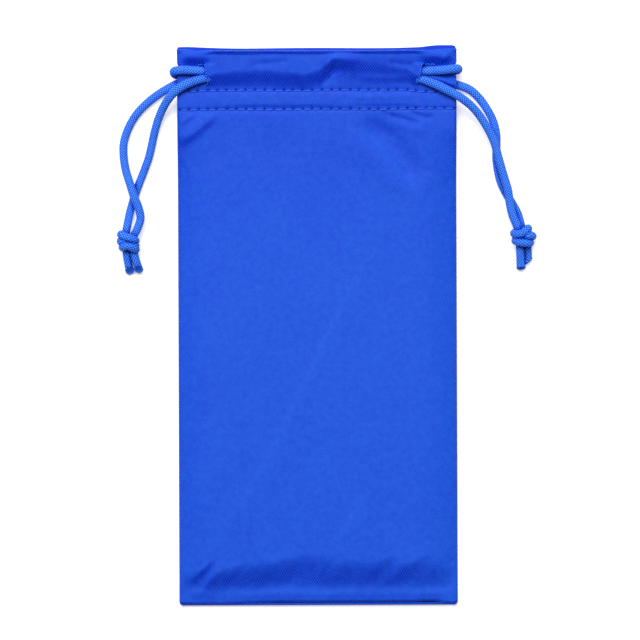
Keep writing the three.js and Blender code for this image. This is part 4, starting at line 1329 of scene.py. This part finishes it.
class POUCH_OT_channel_cords(Operator):
    """The stretches of cord inside the two channels, two in each, in halves"""
    bl_idname = "pouch.channel_cords"
    bl_label = "Cords in the Channels"

    def execute(self, context):
        for front, layer in LAYERS:
            for over, owner in ((False, "left"), (True, "right")):
                for side in (-1, 1):
                    node = f"{owner}_cord_{layer}_run"
                    piece, _ = cord_piece(context, f"{owner}_{layer}_run_{SIDE_NAMES[side]}_half", node,
                                          run_line(front, over, side), tall=0.6, step=0.3, sides=24)
                    gathers(piece, side)
        return {"FINISHED"}


def surface_height(x, y, front):
    """z of the outer side of a cloth at places in a row."""
    return (front_top if front else back_under)(x[None, :], y[None, :])[0]


def sew(context, name, lines, side, radius, **shape):
    """A piece of sewing thread on one side of the bag."""
    piece = plain_tubes(name, lines, radius, thread_material(context), **shape)
    gathers(piece, side)


def stitch_lines(front, upper, side, thread):
    """The single stitches of a row on one half of the bag, which lie on the cloth and dive at the holes."""
    holes = needle_holes(upper)
    draw = np.random.default_rng(77 + 2 * upper + front)
    lines = []
    for first, second in zip(holes[:-1], holes[1:]):
        middle = (first + second) / 2
        lean = draw.uniform(*STITCH_LEANS)
        if abs(middle) > ROW_ENDS[upper] or (middle < 0) != (side < 0):
            continue
        share = np.linspace(0.0, 1.0, 13)
        x = mix(first + STITCH_END, second - STITCH_END, share)
        y = row_height(x, upper) + lean * (share - 0.5) + 0.03 * np.sin(np.pi * share)
        rest = surface_height(x, y, front)
        ends = np.maximum(np.abs(share - 0.5) * 2 - 0.72, 0.0) / 0.28
        lift = thread * (0.10 + 0.30 * np.sin(np.pi * share)) - 0.5 * ends ** 2
        z = rest + lift if front else np.maximum(rest - lift, thread / 2 + 0.02)
        lines.append(np.stack([x, y, z], axis=1))
    return lines


class POUCH_OT_hem_stitches(Operator):
    """The two rows of stitches across the hem of each cloth"""
    bl_idname = "pouch.hem_stitches"
    bl_label = "Hem Stitches"

    def execute(self, context):
        thread = context.scene.pouch_cloth.thread / MM
        for front, layer in LAYERS:
            for upper, row in ((True, "upper"), (False, "lower")):
                for side in (-1, 1):
                    sew(context, f"{layer}_{row}_stitches_{SIDE_NAMES[side]}",
                        stitch_lines(front, upper, side, thread), side, thread / 2, taper=0.3)
        return {"FINISHED"}


class POUCH_OT_slit_stitches(Operator):
    """The sewn edges of the slits that the cords come out of"""
    bl_idname = "pouch.slit_stitches"
    bl_label = "Slit Stitches"

    def execute(self, context):
        thread = context.scene.pouch_cloth.thread / MM
        for side, points in SLIT_THREADS.items():
            line, along = through([(x, y, 0.0) for x, y in points], 0.12)
            wound = 2 * math.pi * along / SLIT_TWIST
            line[:, 0] += 0.06 * np.cos(wound)
            for front, layer in LAYERS:
                rest = surface_height(line[:, 0], line[:, 1], front)
                lift = thread / 4 + 0.08 * np.sin(wound)
                height = rest + lift if front else np.maximum(rest - lift, thread / 2)
                sewn = np.column_stack([line[:, :2], height])
                sew(context, f"{layer}_slit_stitches_{SIDE_NAMES[side]}", [sewn], side, thread / 2)
        return {"FINISHED"}


def seam_strip(name, path, inward, material):
    """The joined raw edges of both cloths inside the bag, a little wavy."""
    line, along = through(path, 0.8)
    share = np.linspace(0.0, 1.0, 7)
    reach = share[None, :] * ALLOWANCE_WIDTH + np.outer(0.15 * np.sin(along / 1.1), share ** 4)
    top = line[:, None, :] + reach[:, :, None] * np.asarray(inward)
    top[:, :, 2] += np.outer(0.12 * np.sin(along / 2.3) + 0.08 * np.sin(along / 0.9 + 1.0), share ** 2)
    if grid_normals(top, True)[:, :, 2].mean() > 0:
        top = top[:, ::-1]
    normal = np.broadcast_to([0.0, 0.0, 1.0], top.shape)
    verts, faces, corner, _ = cloth_shell(top, normal, np.ones((top.shape[0] - 1, top.shape[1] - 1), bool))
    return make_mesh(name, verts, [faces], material, corner)


def overlock_lines(path, inward):
    """Zigzag thread that holds the raw edges: loops over the edge, and the needle line."""
    line, along = through(path, 0.25)
    phase = 2 * math.pi * along / OVERLOCK_PITCH
    reach = mix(1.0, ALLOWANCE_WIDTH + 0.2, 0.5 + 0.5 * np.sin(phase))
    loops = line + reach[:, None] * np.asarray(inward)
    loops[:, 2] += 0.18 + 0.06 * np.cos(2 * phase)
    return [loops, line + np.asarray(inward) + np.array([0.0, 0.0, 0.16])]


class POUCH_OT_seams(Operator):
    """The overlocked seam allowances inside the bag, along both sides and the bottom"""
    bl_idname = "pouch.seams"
    bl_label = "Seams"

    def execute(self, context):
        side_y = np.linspace(*SIDE_SEAM_Y, 24)
        bottom_x = np.linspace(-BOTTOM_SEAM_X, BOTTOM_SEAM_X, 20)
        for side in (-1, 1):
            path = [(side * (HALF_WIDTH - SEAM_INSET), y, SEAM_LEVEL) for y in side_y]
            label = SIDE_NAMES[side]
            for piece in self.sewn(context, label, f"{label}_side_seam", path, (-side, 0.0, 0.0)):
                gathers(piece, side)
        path = [(x, -HALF_LENGTH + SEAM_INSET, SEAM_LEVEL) for x in bottom_x]
        for piece in self.sewn(context, "bottom", "bottom_seam", path, (0.0, 1.0, 0.0)):
            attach(piece, "pouch")
        return {"FINISHED"}

    def sewn(self, context, label, node, path, inward):
        strip = seam_strip(f"{label}_seam_allowance", path, inward, cloth_material(context))
        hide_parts(node)
        overlock = plain_tubes(f"{label}_seam_overlock", overlock_lines(path, inward), OVERLOCK_RADIUS,
                               thread_material(context), sides=6)
        return strip, overlock


STEPS = ("stage", "ends", "knots", "tails", "turns", "channel_cords", "seams", "hem_stitches",
         "slit_stitches", "front_cloth", "back_cloth")
GROUPS = {"pouch_cloth": POUCH_PG_cloth, "pouch_cord": POUCH_PG_cord, "pouch_stage": POUCH_PG_stage}


class POUCH_PT_panel(Panel):
    """Builds the pouch piece by piece"""
    bl_label = "Drawstring Pouch"
    bl_idname = "POUCH_PT_panel"
    bl_space_type = "VIEW_3D"
    bl_region_type = "UI"
    bl_category = "Pouch"

    def draw(self, context):
        layout = self.layout
        for group in GROUPS:
            box = layout.box()
            settings = getattr(context.scene, group)
            for key in settings.__annotations__:
                box.prop(settings, key)
        for step in STEPS:
            layout.operator(f"pouch.{step}")


CLASSES = (POUCH_PG_cloth, POUCH_PG_cord, POUCH_PG_stage, POUCH_OT_stage, POUCH_OT_ends, POUCH_OT_knots,
           POUCH_OT_tails, POUCH_OT_turns, POUCH_OT_channel_cords, POUCH_OT_seams, POUCH_OT_hem_stitches,
           POUCH_OT_slit_stitches, POUCH_OT_front_cloth, POUCH_OT_back_cloth, POUCH_PT_panel)


def register():
    for entry in CLASSES:
        bpy.utils.register_class(entry)
    for name, group in GROUPS.items():
        setattr(bpy.types.Scene, name, PointerProperty(type=group))


def unregister():
    for name in GROUPS:
        delattr(bpy.types.Scene, name)
    for entry in reversed(CLASSES):
        bpy.utils.unregister_class(entry)


def main():
    register()
    for step in STEPS:
        getattr(bpy.ops.pouch, step)()


if __name__ == "__main__":
    main()
